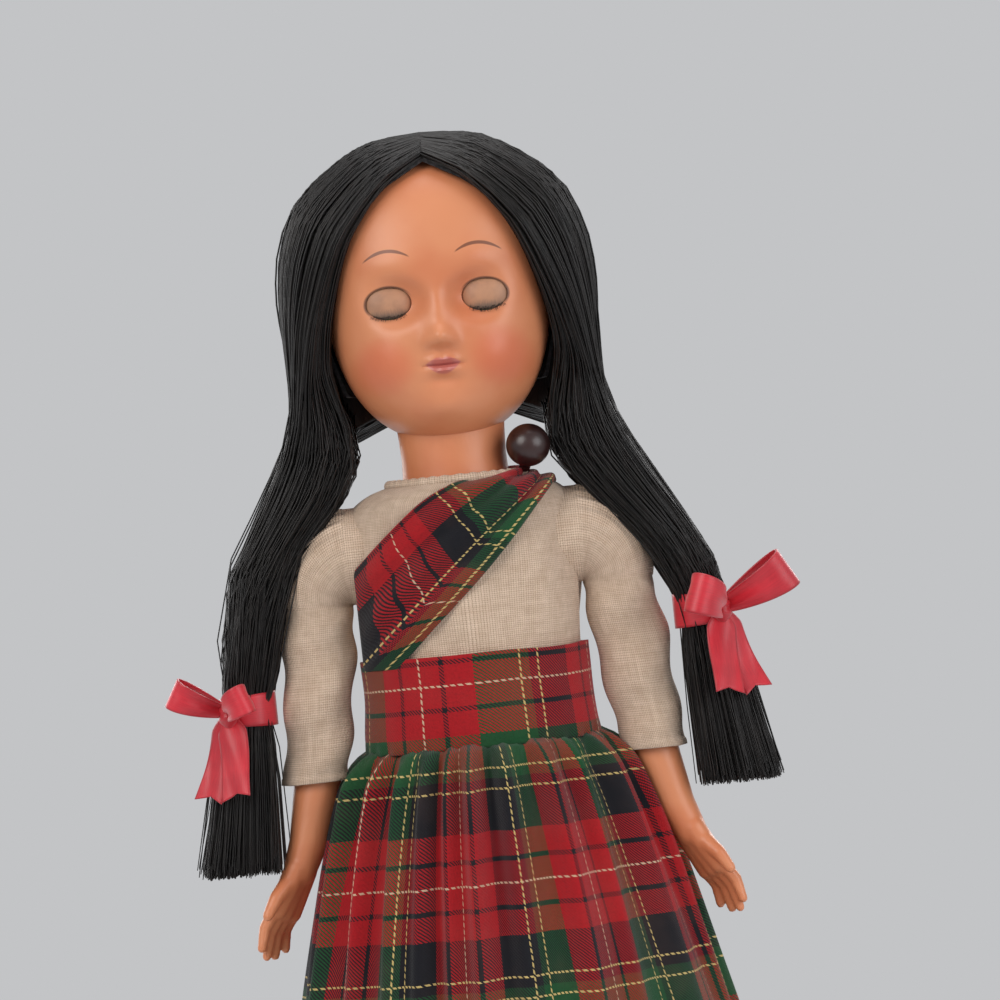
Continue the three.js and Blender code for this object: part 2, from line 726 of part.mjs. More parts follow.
// A tail: from under the ear over the shoulder, drawn in at the ribbon and spread at its cut end.
function tailStations(tieDrop, tailDrop) {
  const tieZ = shoulderZ - tieDrop;
  const endZ = shoulderZ - tailDrop;
  return [
    [headHalfWidth + 2, 3.5, hairFoot - fitGap, 6, 9.6],
    [headHalfWidth + 3.2, 2.2, hairFoot - 4, 6.8, 8.8],
    [headHalfWidth + 9.4, 0.2, shoulderZ + 10, 5, 7.4],
    [tailReach - 3, -1.2, shoulderZ + 2, 4, 6],
    [tailReach - tieInset, tieForward, tieZ, tieHalfWidth, tieHalfDepth],
    [tailReach, -2, (tieZ + endZ) / 2, 4.4, 5.4],
    [tailReach + 1.2, -2.2, endZ, 5.8, 6.4],
  ];
}

const locks = (count, depth) => (angle) => 1 - depth * (0.5 + 0.5 * Math.cos(count * angle));

function makeTails() {
  [["left", 1, leftTieDrop, leftTailDrop], ["right", -1, rightTieDrop, rightTailDrop]].forEach(
    ([side, sign, tieDrop, tailDrop]) => {
      const wave = (share) => locks(6, 0.12 * Math.min(1, 3 * share));
      const tail = limb(tailStations(tieDrop, tailDrop), { sides: 18, steps: 9, wave });
      piece(`hair_tail_${side}`, sign > 0 ? tail : mirrored(tail), hair);
      const bow = ribbonBow(tieDrop);
      piece(`ribbon_${side}`, sign > 0 ? bow : mirrored(bow), ribbonRed);
    },
  );
}

// A band of ribbon round the tail, with two loops and two hanging ends on its outer side.
function ribbonBow(tieDrop) {
  const tieX = tailReach - tieInset;
  const bandRoom = fitGap + 0.25;
  const wrapHalf = tieHalfWidth + bandRoom;
  const bandRing = (grow, z) => {
    const depth = tieHalfDepth + bandRoom + grow;
    return ring(z, wrapHalf + grow, depth, depth, { sides: 12, x: tieX, y: tieForward });
  };
  const half = ribbonWide / 2;
  const outer = loft([bandRing(ribbonThick, -half), bandRing(ribbonThick, half)]);
  const inner = loft([bandRing(0, -half - 1), bandRing(0, half + 1)]);
  const knotAt = [tieX + wrapHalf + 0.9, tieForward - 1.6, 0];
  const knot = ball(knotAt, [1.5, 2, 2.2], 6, 4);
  const loops = [
    [0.5, -0.86, 0.25],
    [0.62, 0.78, 0.2],
  ].map((direction) => bowLoop(knotAt, direction, bowReach));
  const ends = [
    [0.16, -0.5, -1],
    [0.2, 0.42, -1],
  ].map((direction) => ribbonEnd(knotAt, direction, bowReach + 1.5));
  return joined(outer.subtract(inner), knot, ...loops, ...ends).translate([0, 0, shoulderZ - tieDrop]);
}

// One puffed loop of the bow, pinched at the knot and widest near its end.
function bowLoop(from, direction, reach) {
  const stations = [
    [0, 0.9, 0.9],
    [reach * 0.45, 2.6, 1.5],
    [reach * 0.8, 3.2, 1.6],
    [reach, 2.2, 0.7],
  ];
  return alongDirection(stations, from, direction, 4);
}

// One flat hanging end of the ribbon.
function ribbonEnd(from, direction, reach) {
  const stations = [
    [0, 0.8, 0.5],
    [reach * 0.5, 1.9, 0.45],
    [reach, 2.2, 0.4],
  ];
  return alongDirection(stations, from, direction, 2);
}

// A flat form along a direction: stations of [distance, half-height, half-thickness].
function alongDirection(stations, from, direction, steps) {
  const along = new THREE.Vector3(...direction).normalize();
  const flat = new THREE.Vector3(0, 0, 1).cross(along).normalize();
  const tall = along.clone().cross(flat);
  const rings = Array.from({ length: steps + 1 }, (_, step) => {
    const [distance, halfHeight, halfThick] = between(stations, step / steps);
    return Array.from({ length: bowSides }, (_, i) => {
      const angle = (2 * Math.PI * i) / bowSides;
      return new THREE.Vector3(...from)
        .addScaledVector(along, distance)
        .addScaledVector(tall, halfHeight * Math.cos(angle))
        .addScaledVector(flat, halfThick * Math.sin(angle));
    });
  });
  return loft(rings);
}

// Arms

const wristOut = 11.2 + 3 * clothThick; // from the flat side of the torso, clear of the skirt
const wristForward = -3;
const handTilt = -27; // degrees that the hand turns out from the arm
const handTurn = 35; // degrees about the arm that brings the palm forward

// Middle of the left arm from the shoulder to the wrist, with its half-width and half-depth.
const armStations = [
  [5.2, 0, 2.5, 4.4, 4.4],
  [6.2, 0, -armDrop * 0.1, upperArmRadius, upperArmRadius],
  [7.6, -0.2, -armDrop * 0.32, upperArmRadius - 0.2, upperArmRadius],
  [8.6, -0.4, -armDrop * 0.54, 3.8, 3.9],
  [9.9, -1.2, -armDrop * 0.72, 3.6, 3.7],
  [12, -2.4, -armDrop * 0.9, 2.9, 3],
  [wristOut, wristForward, -armDrop, wristRadius - 0.4, wristRadius],
];

const shoulderProfile = (grow) => [
  [runGap - grow, 0],
  [runGap - grow, shoulderRadius - 0.5 + grow],
  [1.2, shoulderRadius + grow],
  [4, shoulderRadius - 0.2 + grow],
  [7.4, shoulderRadius - 1.8 + grow],
  [9.4 + grow, shoulderRadius - 4.2 + grow * 0.6],
  [9.7 + grow, 0],
];

// A soft moulded hand: palm, four fingers that part at their tips, and a thumb held forward.
function makeHand() {
  const palm = ball([0, 0, -4], [2.1, 3.4, 5.3], 8, 6);
  const knuckleDrop = 6.5;
  const fingers = [6.2, 7.2, 6.8, 5.2].map((length, i) => {
    const y = -2.2 + i * 1.5;
    const path = [[0, y * 0.9, -knuckleDrop], [0.5, y, -9], [0.1, y * 1.12, -knuckleDrop - length]];
    return wire(path, fingerRadius, 2);
  });
  const thumb = wire([[0, -2, -2.4], [-0.4, -4, -4.6], [-0.6, -4.6, -7.6]], thumbRadius, 2);
  return joined(palm, thumb, ...fingers)
    .rotate([0, 0, handTurn])
    .rotate([0, handTilt, 0])
    .translate([wristOut, wristForward, -armDrop]);
}

function makeArms() {
  const ballEnd = turnedAboutX(shoulderProfile(0), 10);
  const moulded = joined(ballEnd, limb(armStations, { sides: 10, steps: 6, drop: 1.5 }), makeHand());
  const hookBore = straightWire([-1, 0, 0], [hookReach + fitGap, 0, 0], wireRadius + wireGap, 10);
  const arm = moulded.subtract(hookBore).translate([shoulderHalf, 0, shoulderZ]);
  piece("arm_left", arm, skin);
  piece("arm_right", mirrored(arm), skin);
}

// The set-in sleeve turns with the arm: its head is round about the shoulder axis.
function makeSleeves() {
  const wave = (share) => (angle) => 1 + 0.05 * Math.min(1, 2 * share) * Math.cos(sleeveFolds * angle);
  const room = fitGap + 0.1;
  const domeIn = turnedAboutX(shoulderProfile(room), 10);
  const domeOut = turnedAboutX(shoulderProfile(room + clothThick), 10);
  const tubeOut = limb(armStations, { sides: 2 * sleeveFolds, steps: 5, grow: room + clothThick, wave });
  const tubeIn = limb(armStations, { sides: 10, steps: 6, grow: room, lift: 0.6, drop: 1 });
  const armhole = clothThick + 2 * fitGap + 0.5;
  const keep = block([armhole, -far, -sleeveLength], [far, far, far]);
  const sleeve = joined(domeOut, tubeOut)
    .subtract(joined(domeIn, tubeIn))
    .intersect(keep)
    .translate([shoulderHalf, 0, shoulderZ]);
  piece("sleeve_left", sleeve, blouseCotton);
  piece("sleeve_right", mirrored(sleeve), blouseCotton);
}

// Legs, socks and shoes

const legX = crotchHalf + 3.8; // middle of the thigh
const ankleX = legX - 0.6;
const footY = -4.6; // middle of the foot, ahead of the leg

const legStations = [
  [legX, 0, 3, thighRadius, thighRadius],
  [legX, 0, -legLength * 0.1, thighRadius, thighRadius + 0.3],
  [legX, 0.2, -legLength * 0.28, thighRadius - 0.9, thighRadius - 0.5],
  [legX - 0.2, 0, -legLength * 0.48, 5.5, 5.8],
  [legX - 0.4, 0.9, -legLength * 0.64, 5.4, 5.7],
  [ankleX, 0.6, -legLength * 0.84, ankleRadius, ankleRadius + 0.2],
  [ankleX, 0.4, -legLength * 0.93, ankleRadius - 0.1, ankleRadius + 0.6],
];

const hipProfile = [
  [crotchHalf + runGap, 0],
  [crotchHalf + runGap, hipRadius - 0.6],
  [crotchHalf + 1, hipRadius],
  [crotchHalf + 7.4, hipRadius - 0.3],
  [crotchHalf + 10.6, hipRadius - 3],
  [crotchHalf + 11.4, 0],
];

// The foot lies along Y: stations of [y, half-width, height above the sole], swollen by grow.
function footForm(grow, sides = 10) {
  const half = footLength / 2 + grow;
  const stations = [
    [1, 1.6, 3],
    [0.93, 3.5, 6.5],
    [0.55, 4.2, 9.2],
    [0.1, 4.3, 8.6],
    [-0.35, 4.9, 6.6],
    [-0.75, 4.7, 5.2],
    [-0.94, 3.1, 4.2],
    [-1, 1.4, 3],
  ];
  const footSteps = 6;
  const rings = Array.from({ length: footSteps + 1 }, (_, step) => {
    const [share, halfWidth, height] = between(stations, step / footSteps);
    return Array.from({ length: sides }, (_, i) => {
      const angle = (2 * Math.PI * i) / sides;
      const x = (halfWidth + grow) * bulge(Math.sin(angle), 2.6);
      const z = ((height + 2 * grow) * (1 + bulge(Math.cos(angle), 2.6))) / 2 - grow;
      return new THREE.Vector3(ankleX + x, footY + share * half, z);
    });
  });
  return loft(rings);
}

function makeLegs() {
  const foot = footForm(0).translate([0, 0, -legLength]);
  const hookEnd = crotchHalf + hookReach + fitGap;
  const hookBore = straightWire([crotchHalf - 1, 0, 0], [hookEnd, 0, 0], wireRadius + wireGap, 10);
  const tongueRoom = straightWire([-far, 0, 0], [crotchHalf + runGap, 0, 0], hipRadius, 20);
  const leg = joined(turnedAboutX(hipProfile, 14), limb(legStations, { sides: 10, steps: 8 }), foot)
    .subtract(tongueRoom)
    .subtract(hookBore)
    .translate([0, 0, hipZ]);
  piece("leg_left", leg, skin);
  piece("leg_right", mirrored(leg), skin);
}

// A short knitted sock with a turned-down top.
function makeSocks() {
  const room = fitGap;
  const ankle = (grow) => limb(legStations, { sides: 10, steps: 8, grow });
  const cuffRing = (z, grow) => {
    const depth = ankleRadius + grow;
    return ring(z, depth, depth, depth, { sides: 10, x: ankleX, y: 0.6 });
  };
  const cuffHigh = sockRise - legLength;
  const cuffLow = cuffHigh - cuffDepth;
  const cuff = loft([
    cuffRing(cuffLow, 1.2),
    cuffRing(cuffLow + 0.7, 2.1),
    cuffRing(cuffHigh - 0.7, 2.2),
    cuffRing(cuffHigh, 1.3),
  ]);
  const keep = block([-far, -far, -legLength + 3.2], [far, far, cuffHigh - 0.2]);
  const footPart = (grow) => footForm(grow).translate([0, 0, -legLength]);
  const outside = joined(ankle(room + knitThick), footPart(room + knitThick), cuff);
  const inside = joined(ankle(room), footPart(room));
  const sock = outside.subtract(inside).intersect(keep).translate([0, 0, hipZ]);
  piece("sock_left", sock, sockKnit);
  piece("sock_right", mirrored(sock), sockKnit);
}

// A bar shoe: an upper with its strap, and a sole that is cut away ahead of a low heel.
function makeShoes() {
  const room = 2 * fitGap + knitThick;
  const inside = footForm(room).translate([0, 0, soleThick]);
  const outside = footForm(room + shoeThick).translate([0, 0, soleThick]);
  const throat = new THREE.Shape();
  throat.absellipse(ankleX, footY + 1.4, 3.5, 7.2, 0, 2 * Math.PI, false, 0);
  const throatCut = new THREE.ExtrudeGeometry(throat, { depth: 20, bevelEnabled: false, curveSegments: 6 });
  throatCut.translate(0, 0, soleThick + 3.5);
  const strapLow = footY + 1.6;
  const strap = block([-far, strapLow, soleThick + 3], [far, strapLow + 3, far]).intersect(
    outside.subtract(inside),
  );
  const legRoom = limb(legStations, { sides: 10, steps: 8, grow: 2 * fitGap + 0.9 }).translate([0, 0, hipZ]);
  const rim = block([-far, footY + 4, soleThick + 8.2], [far, far, far]);
  const upper = outside
    .subtract(joined(inside, solidOf(throatCut), rim))
    .add(strap)
    .subtract(legRoom)
    .intersect(block([-far, -far, soleThick + fitGap], [far, far, far]));
  piece("shoe_left", upper, shoeVinyl);
  piece("shoe_right", mirrored(upper), shoeVinyl);

  const treadZ = 2.4; // height in the foot's form at which its outline is taken for the sole
  const tread = footForm(room + shoeThick + 0.3)
    .intersect(block([-far, -far, treadZ], [far, far, treadZ + soleThick]));
  const sole = tread.translate([0, 0, -treadZ]);
  const arch = block([-far, footY + 1.5, -1], [far, footY + 4.2, 0.7]);
  piece("sole_left", sole.subtract(arch), soleVinyl);
  piece("sole_right", mirrored(sole.subtract(arch)), soleVinyl);
}

// Clothes on the torso

const blouseIn = fitGap + 0.1; // each layer of cloth, out from the torso
const blouseOut = blouseIn + clothThick;
const bandIn = blouseOut + fitGap;
const bandOut = bandIn + clothThick;
const backSlit = 0.7;

function makeBlouse() {
  const neckline = straightWire([0, 0, shoulderZ], [0, 0, far], neckRadius + 1.2, 14);
  const armhole = shoulderAxis(shoulderRadius + runGap);
  const slit = block([-backSlit / 2, 0, 0], [backSlit / 2, far, far]);
  const keep = block([-far, -far, waistTopZ - 4], [far, far, far]);
  const blouse = torsoForm(blouseOut, 18, 9)
    .subtract(torsoForm(blouseIn, 18, 9))
    .intersect(keep)
    .subtract(joined(neckline, armhole, slit));
  piece("blouse", blouse, blouseCotton);
}

function makeWaistband() {
  const keep = block([-far, -far, waistSeamZ], [far, far, waistTopZ]);
  const slit = block([-backSlit / 2, 0, 0], [backSlit / 2, far, far]);
  const band = torsoForm(bandOut, 18, 9).subtract(torsoForm(bandIn, 18, 9)).intersect(keep).subtract(slit);
  piece("waistband", band, tartan);
}

// The plaid: a band from the waist on the doll's right, over its left shoulder and down the back again.
function makeSash() {
  const middle = [0, 0, shoulderZ + 3];
  const slab = block([-far, -far, -sashWidth / 2], [far, far, sashWidth / 2])
    .rotate([0, -THREE.MathUtils.radToDeg(sashLean), 0])
    .translate(middle);
  const sleeveSide = shoulderHalf + clothThick + 2 * fitGap;
  const keep = block([-sleeveSide, -far, waistTopZ + fitGap], [sleeveSide, far, far]);
  const neckRoom = straightWire([0, 0, shoulderZ - 4], [0, 0, far], neckRadius + 1.6, 14);
  const besideArms = block([fitGap - shoulderHalf, -far, 0], [shoulderHalf - fitGap, far, far]);
  const armRoom = shoulderAxis(shoulderRadius + clothThick + runGap + 0.5).subtract(besideArms);
  const sash = torsoForm(bandOut, 18, 9)
    .subtract(torsoForm(bandIn, 18, 9))
    .intersect(slab)
    .intersect(keep)
    .subtract(joined(neckRoom, armRoom));
  piece("plaid_sash", sash, tartan);
}

// The skirt hangs in gathers from the waist seam.
function makeSkirt() {
  const levels = 6;
  const top = waistSeamZ - fitGap;
  const waistHalf = 15.2 + bandOut;
  const waistFront = 11.6 + bandOut;
  const waistBack = 10.9 + bandOut;
  const rings = (shrink) =>
    Array.from({ length: levels + 1 }, (_, level) => {
      const share = level / levels;
      const flare = share ** 0.7;
      const depth = (hemFoldDepth / hemHalfWidth) * (0.35 + 0.65 * share);
      const wave = (angle) => 1 + depth * Math.cos(skirtFolds * angle + 0.5 * Math.sin(2 * angle));
      const half = waistHalf + (hemHalfWidth - hemFoldDepth - waistHalf) * flare - shrink;
      const front = waistFront + (hemHalfDepth - hemFoldDepth - waistFront) * flare - shrink;
      const back = waistBack + (hemHalfDepth - hemFoldDepth - waistBack) * flare - shrink;
      const past = shrink ? (level === 0 ? 1 : level === levels ? -1 : 0) : 0;
      const z = top - share * skirtLength + past;
      return ring(z, half, front, back, { sides: 5 * skirtFolds, squareness: 2.05, wave });
    });
  const cloth = loft(rings(0)).subtract(loft(rings(clothThick)));
  piece("skirt", cloth, tartan);
}

// High-cut knickers under the skirt.
function makeKnickers() {
  const keep = block([-far, -far, 0], [far, far, waistSeamZ + 0.6]);
  const cloth = torsoForm(blouseIn + knitThick, 18, 9).subtract(torsoForm(runGap, 18, 9)).intersect(keep);
  piece("knickers", cloth.subtract(legSpace(runGap)), knickerCotton);
}

// Fastenings: the ball button that holds the plaid on the shoulder, and press studs down the back.
function makeFastenings() {
  const onShoulder = [11.2, -6.4, shoulderZ + 11.5 + bandOut];
  const shankFoot = [10.4, -5, shoulderZ + 8.4 + bandOut];
  const shankRadius = 0.8;
  const ballButton = ball(onShoulder, Array(3).fill(buttonRadius), 12, 8);
  piece("plaid_button", ballButton.add(straightWire(onShoulder, shankFoot, shankRadius, 6)), buttonBrown);
  const studThick = 0.8;
  [
    ["blouse_stud", waistTopZ + 2.2 * snapRadius, blouseOut],
    ["waistband_stud", waistTopZ - waistDepth / 2, bandOut],
  ].forEach(([name, z, cloth]) => {
    const y = torsoBackAt(z) + cloth + 1.5 * fitGap + studThick / 2;
    const stud = solidOf(new THREE.CylinderGeometry(snapRadius, snapRadius, studThick, 10));
    piece(name, stud.translate([0, y, z]), steel);
  });
}

makeTorso();
makeStringing();
makeHead();
makeNeckHook();
makeEyes();
makeEyeBracket();
makeWig();
makeTails();
makeArms();
makeSleeves();
makeLegs();
makeSocks();
makeShoes();
makeBlouse();
makeWaistband();
makeSash();
makeSkirt();
makeKnickers();
makeFastenings();

export default doll;
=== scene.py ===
import math
import random
import bmesh
import bpy
from mathutils import Matrix, Vector, noise


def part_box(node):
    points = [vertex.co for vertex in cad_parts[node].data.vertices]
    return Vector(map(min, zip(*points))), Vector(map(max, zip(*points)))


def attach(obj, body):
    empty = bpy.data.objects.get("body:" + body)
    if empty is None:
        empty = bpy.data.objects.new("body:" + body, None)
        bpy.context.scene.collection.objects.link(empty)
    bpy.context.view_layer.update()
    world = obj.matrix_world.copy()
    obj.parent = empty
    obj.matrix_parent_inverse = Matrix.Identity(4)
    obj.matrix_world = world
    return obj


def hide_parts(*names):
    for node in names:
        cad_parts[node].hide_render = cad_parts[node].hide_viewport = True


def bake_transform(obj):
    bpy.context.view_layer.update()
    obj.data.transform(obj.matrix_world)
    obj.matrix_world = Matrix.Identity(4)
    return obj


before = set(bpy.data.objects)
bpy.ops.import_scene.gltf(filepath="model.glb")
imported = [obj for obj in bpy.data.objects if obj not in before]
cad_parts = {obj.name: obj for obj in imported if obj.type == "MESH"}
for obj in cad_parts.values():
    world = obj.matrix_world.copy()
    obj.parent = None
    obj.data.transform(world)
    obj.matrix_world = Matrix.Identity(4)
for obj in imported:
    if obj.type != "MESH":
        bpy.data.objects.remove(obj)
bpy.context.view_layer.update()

dice = random.Random(11)
mm = 0.001  # shapes are worked out in millimetres and made metres when they settle
sides = {"left": 1, "right": -1}  # the doll's own left lies along x


def tint(red, green, blue):  # a colour as the eye sees it, 0 to 255, made linear
    shares = (red / 255, green / 255, blue / 255)
    return (*(c / 12.92 if c <= 0.04045 else ((c + 0.055) / 1.055) ** 2.4 for c in shares), 1.0)


def maths(operation, turned=False):  # an operator for the class below
    def method(self, *others):
        values = [self, *others]
        inputs = dict(enumerate(values[::-1] if turned else values))
        return self.make("ShaderNodeMath", {"operation": operation}, inputs)

    return method


class Flow:  # one socket of a material, so that shader maths reads as sums
    def __init__(self, tree, socket=None):
        self.tree = tree
        self.socket = socket

    def make(self, kind, settings=None, inputs=None, out=0):
        node = self.tree.nodes.new(kind)
        for key, value in (settings or {}).items():
            setattr(node, key, value)
        for key, value in (inputs or {}).items():
            if isinstance(value, Flow):
                self.tree.links.new(value.socket, node.inputs[key])
            else:
                node.inputs[key].default_value = value
        return Flow(self.tree, node.outputs[out])

    def end(self, kind):
        self.tree.links.new(self.socket, self.tree.nodes.new(kind).inputs[0])

    __add__ = __radd__ = maths("ADD")
    __mul__ = __rmul__ = maths("MULTIPLY")
    __sub__, __rsub__ = maths("SUBTRACT"), maths("SUBTRACT", True)
    __truediv__, __rtruediv__ = maths("DIVIDE"), maths("DIVIDE", True)
    __pow__, __mod__ = maths("POWER"), maths("FLOORED_MODULO")
    __lt__, __gt__ = maths("LESS_THAN"), maths("GREATER_THAN")
    __abs__, floor, wave = maths("ABSOLUTE"), maths("FLOOR"), maths("SINE")
    least, most, angle = maths("MINIMUM"), maths("MAXIMUM"), maths("ARCTAN2")

    def __neg__(self):
        return self * -1.0

    def rise(self, low, high):  # 0 at low, 1 at high, smooth between
        inputs = {"Value": self, "From Min": low, "From Max": high}
        return self.make("ShaderNodeMapRange", {"interpolation_type": "SMOOTHSTEP"}, inputs)

    def mix(self, first, second):  # self is the share of the second colour
        settings = {"data_type": "RGBA", "clamp_factor": True}
        return self.make("ShaderNodeMix", settings, {0: self, 6: first, 7: second}, out=2)

    def place(self):  # object coordinates, in metres
        return self.make("ShaderNodeTexCoord", out=3)

    def cloth(self):  # the cloth's own coordinates, in metres along its threads
        return self.make("ShaderNodeUVMap", {"uv_map": "cloth"})

    def part(self, axis):
        return self.make("ShaderNodeSeparateXYZ", None, {0: self}, out=axis)

    def grain(self, where, scale, detail=3.0, rough=0.55):
        inputs = {"Vector": where, "Scale": scale, "Detail": detail, "Roughness": rough}
        return self.make("ShaderNodeTexNoise", None, inputs)

    def streaks(self, where, scale, detail=2.0, rough=0.55):  # a grain drawn out along one way
        drawn = self.make("ShaderNodeMapping", None, {"Vector": where, "Scale": scale})
        return self.grain(drawn, 1.0, detail, rough)

    def relief(self, height, strength, depth):
        return self.make("ShaderNodeBump", None, {"Height": height, "Strength": strength, "Distance": depth})


finishes = {}


def paint(key, name, build, fixed=None):  # build gives the colour, the roughness and the normal
    material = bpy.data.materials.new(name)
    material.use_nodes = True
    material.node_tree.nodes.clear()
    f = Flow(material.node_tree)
    varied = dict(zip(("Base Color", "Roughness", "Normal"), build(f)))
    f.make("ShaderNodeBsdfPrincipled", None, {**(fixed or {}), **varied}).end("ShaderNodeOutputMaterial")
    finishes[key] = material


# Making and settling pieces

def rough(name, bm):  # a working object, still in millimetres
    mesh = bpy.data.meshes.new(name)
    bm.to_mesh(mesh)
    bm.free()
    return show(name, mesh)


def show(name, data):
    piece = bpy.data.objects.new(name, data)
    bpy.context.scene.collection.objects.link(piece)
    return piece


def meshOf(piece):
    bpy.context.view_layer.update()
    return bpy.data.meshes.new_from_object(piece.evaluated_get(bpy.context.evaluated_depsgraph_get()))


def bake(piece):  # applies what its modifiers do
    done = meshOf(piece)
    piece.modifiers.clear()
    piece.data = done
    return piece


def carve(piece, tool, how="DIFFERENCE"):
    cut = piece.modifiers.new("carve", "BOOLEAN")
    cut.operation = how
    cut.solver = "MANIFOLD"
    cut.object = tool
    bake(piece)
    bpy.data.objects.remove(tool)
    bm = bmesh.new()
    bm.from_mesh(piece.data)
    bmesh.ops.dissolve_degenerate(bm, edges=bm.edges, dist=0.004)  # slivers along the cut
    bm.to_mesh(piece.data)
    bm.free()
    return piece


def settle(piece, body, finish, stands=(), sharp=None):  # a piece without a body is left unattached
    names = [finish] if isinstance(finish, str) else finish
    piece.data.transform(Matrix.Scale(mm, 4))
    piece.data.materials.clear()
    for each in names:
        piece.data.materials.append(finishes[each])
    for face in piece.data.polygons:
        face.use_smooth = True
    if sharp:
        piece.data.set_sharp_from_angle(angle=math.radians(sharp))
    if body:
        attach(piece, body)
    if stands:
        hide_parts(*stands)
    return piece


def thicken(piece, thick, offset=-1.0, unit=mm):
    wall = piece.modifiers.new("thickness", "SOLIDIFY")
    wall.thickness = thick * unit
    wall.offset = offset
    return piece


def faceOut(bm, middle=None):  # turns an open or closed surface outward from its middle
    bmesh.ops.recalc_face_normals(bm, faces=bm.faces)
    centre = middle or sum((v.co for v in bm.verts), Vector()) / len(bm.verts)
    outward = sum(f.normal.dot(f.calc_center_median() - centre) * f.calc_area() for f in bm.faces)
    if outward < 0:
        bmesh.ops.reverse_faces(bm, faces=bm.faces)
    return bm


def closeUp(bm, below=1e9):  # fills the open rims, or only those that start below a height
    rims = [e for e in bm.edges if e.is_boundary and e.verts[0].co.z < below]
    bmesh.ops.holes_fill(bm, edges=rims)


def turnSide(bm, side):  # limbs are shaped on the doll's left
    bmesh.ops.scale(bm, verts=bm.verts, vec=(side, 1, 1))
    if side < 0:
        bmesh.ops.reverse_faces(bm, faces=bm.faces)


def cutAway(bm, spot, way):  # takes off what lies beyond a plane
    geom = bm.verts[:] + bm.edges[:] + bm.faces[:]
    bmesh.ops.bisect_plane(bm, geom=geom, plane_co=spot, plane_no=way, clear_outer=True)
    closeUp(bm)


def softenEdges(bm, angle, offset):  # rounds the edges sharper than an angle
    edges = [e for e in bm.edges if len(e.link_faces) == 2 and e.calc_face_angle(0) > angle]
    bmesh.ops.bevel(bm, geom=edges, offset=offset, affect="EDGES", segments=2, profile=0.5, material=-1)


def clothGrid(columns, rows, flat, place, closed=False, middle=None, side=1):  # flat is its cut size in mm
    bm = bmesh.new()
    layer = bm.loops.layers.uv.new("cloth")
    bmesh.ops.create_grid(bm, x_segments=columns, y_segments=rows, size=0.5)
    for face in bm.faces:
        for loop in face.loops:
            spot = loop.vert.co
            loop[layer].uv = ((spot.x + 0.5) * flat[0] * mm, (spot.y + 0.5) * flat[1] * mm)
    for vert in bm.verts:
        vert.co = place(vert.co.x + 0.5, vert.co.y + 0.5)
        vert.co.x *= side
    if closed:
        bmesh.ops.remove_doubles(bm, verts=bm.verts, dist=0.004)
    return faceOut(bm, middle)


def sew(name, grid, flat, place, body, finish, stands=(), thick=None, offset=-1.0, **shape):
    piece = settle(rough(name, clothGrid(*grid, flat, place, **shape)), body, finish, stands)
    return thicken(piece, thick, offset) if thick else piece


def between(stations, share):  # smooth values along a list of stations
    last = len(stations) - 1
    spot = min(max(share, 0.0) * last, last - 1e-9)
    i = int(spot)
    t = spot - i
    near = [stations[max(0, min(last, n))] for n in (i - 1, i, i + 1, i + 2)]
    return [
        q + 0.5 * t * (r - p + t * (2 * p - 5 * q + 4 * r - s + t * (3 * (q - r) + s - p)))
        for p, q, r, s in zip(*near)
    ]


def lastTrue(test, low, high, tries):  # the far end of the stretch where a test holds
    for _ in range(tries):
        half = (low + high) / 2
        low, high = (half, high) if test(half) else (low, half)
    return low


def heightTable(stations, foot, steps, count):  # sizes at even heights, from stations that start with a height
    rows = []
    for i in range(count):
        z = foot + i / steps
        rows.append(between(stations, lastTrue(lambda share: between(stations, share)[0] < z, 0.0, 1.0, 30))[1:])

    def sizes(z):
        spot = max(0.0, min(count - 1.001, (z - foot) * steps))
        i = int(spot)
        return [a + (b - a) * (spot - i) for a, b in zip(rows[i], rows[i + 1])]

    return sizes


def smooth(low, high, v):
    t = min(1.0, max(0.0, (v - low) / (high - low)))
    return t * t * (3 - 2 * t)


def ripple(x, y, z):
    return noise.noise(Vector((x, y, z)))


def roundRipple(turn, reach, y, z):  # a ripple that meets itself where a tube of cloth closes
    return ripple(math.cos(turn) * reach + z, math.sin(turn) * reach, y)


def bulge(v, squareness):
    return math.copysign(abs(v) ** (2 / squareness), v)


def outward(turn):  # turn 0 is the front, growing towards the doll's left
    return Vector((math.sin(turn), -math.cos(turn), 0))


def hoop(turn, z, halfWidth, front, back, squareness, grow=0.0):  # a point on a rounded ring round the body
    across, along = bulge(math.sin(turn), squareness), bulge(math.cos(turn), squareness)
    return Vector(((halfWidth + grow) * across, -along * ((front if along > 0 else back) + grow), z))


# Camera, light and floor

cameraPlan = {"aim": (6.2, 0.0, 149.3), "away": 700.0, "wide": 150.0, "roll": -6.0, "sensor": 36.0}
stagePlan = {
    "backdrop": tint(195, 196, 198),
    "ambient": (0.62, 0.64, 0.66, 1),
    "strength": 0.55,
    "floor": tint(206, 208, 210),
    "radius": 490.0,
    "fade": (0.2, 0.47),  # metres from the middle at which the floor fades out
    "middle": (0.0, 0.0, 0.13),  # where the lamps point
}
lampPlan = {  # place, size, power and colour
    "key": ((-0.6, -0.75, 0.7), 0.75, 6.4, (1.0, 0.98, 0.95)),
    "fill": ((0.7, -0.6, 0.35), 0.7, 4.0, (0.97, 0.98, 1.0)),
    "top": ((0.05, 0.1, 0.95), 0.7, 3.2, (1, 1, 1)),
    "rim": ((0.35, 0.75, 0.5), 0.6, 4.5, (1, 1, 1)),
    "rimLeft": ((-0.5, 0.65, 0.35), 0.6, 3.0, (1, 1, 1)),
}


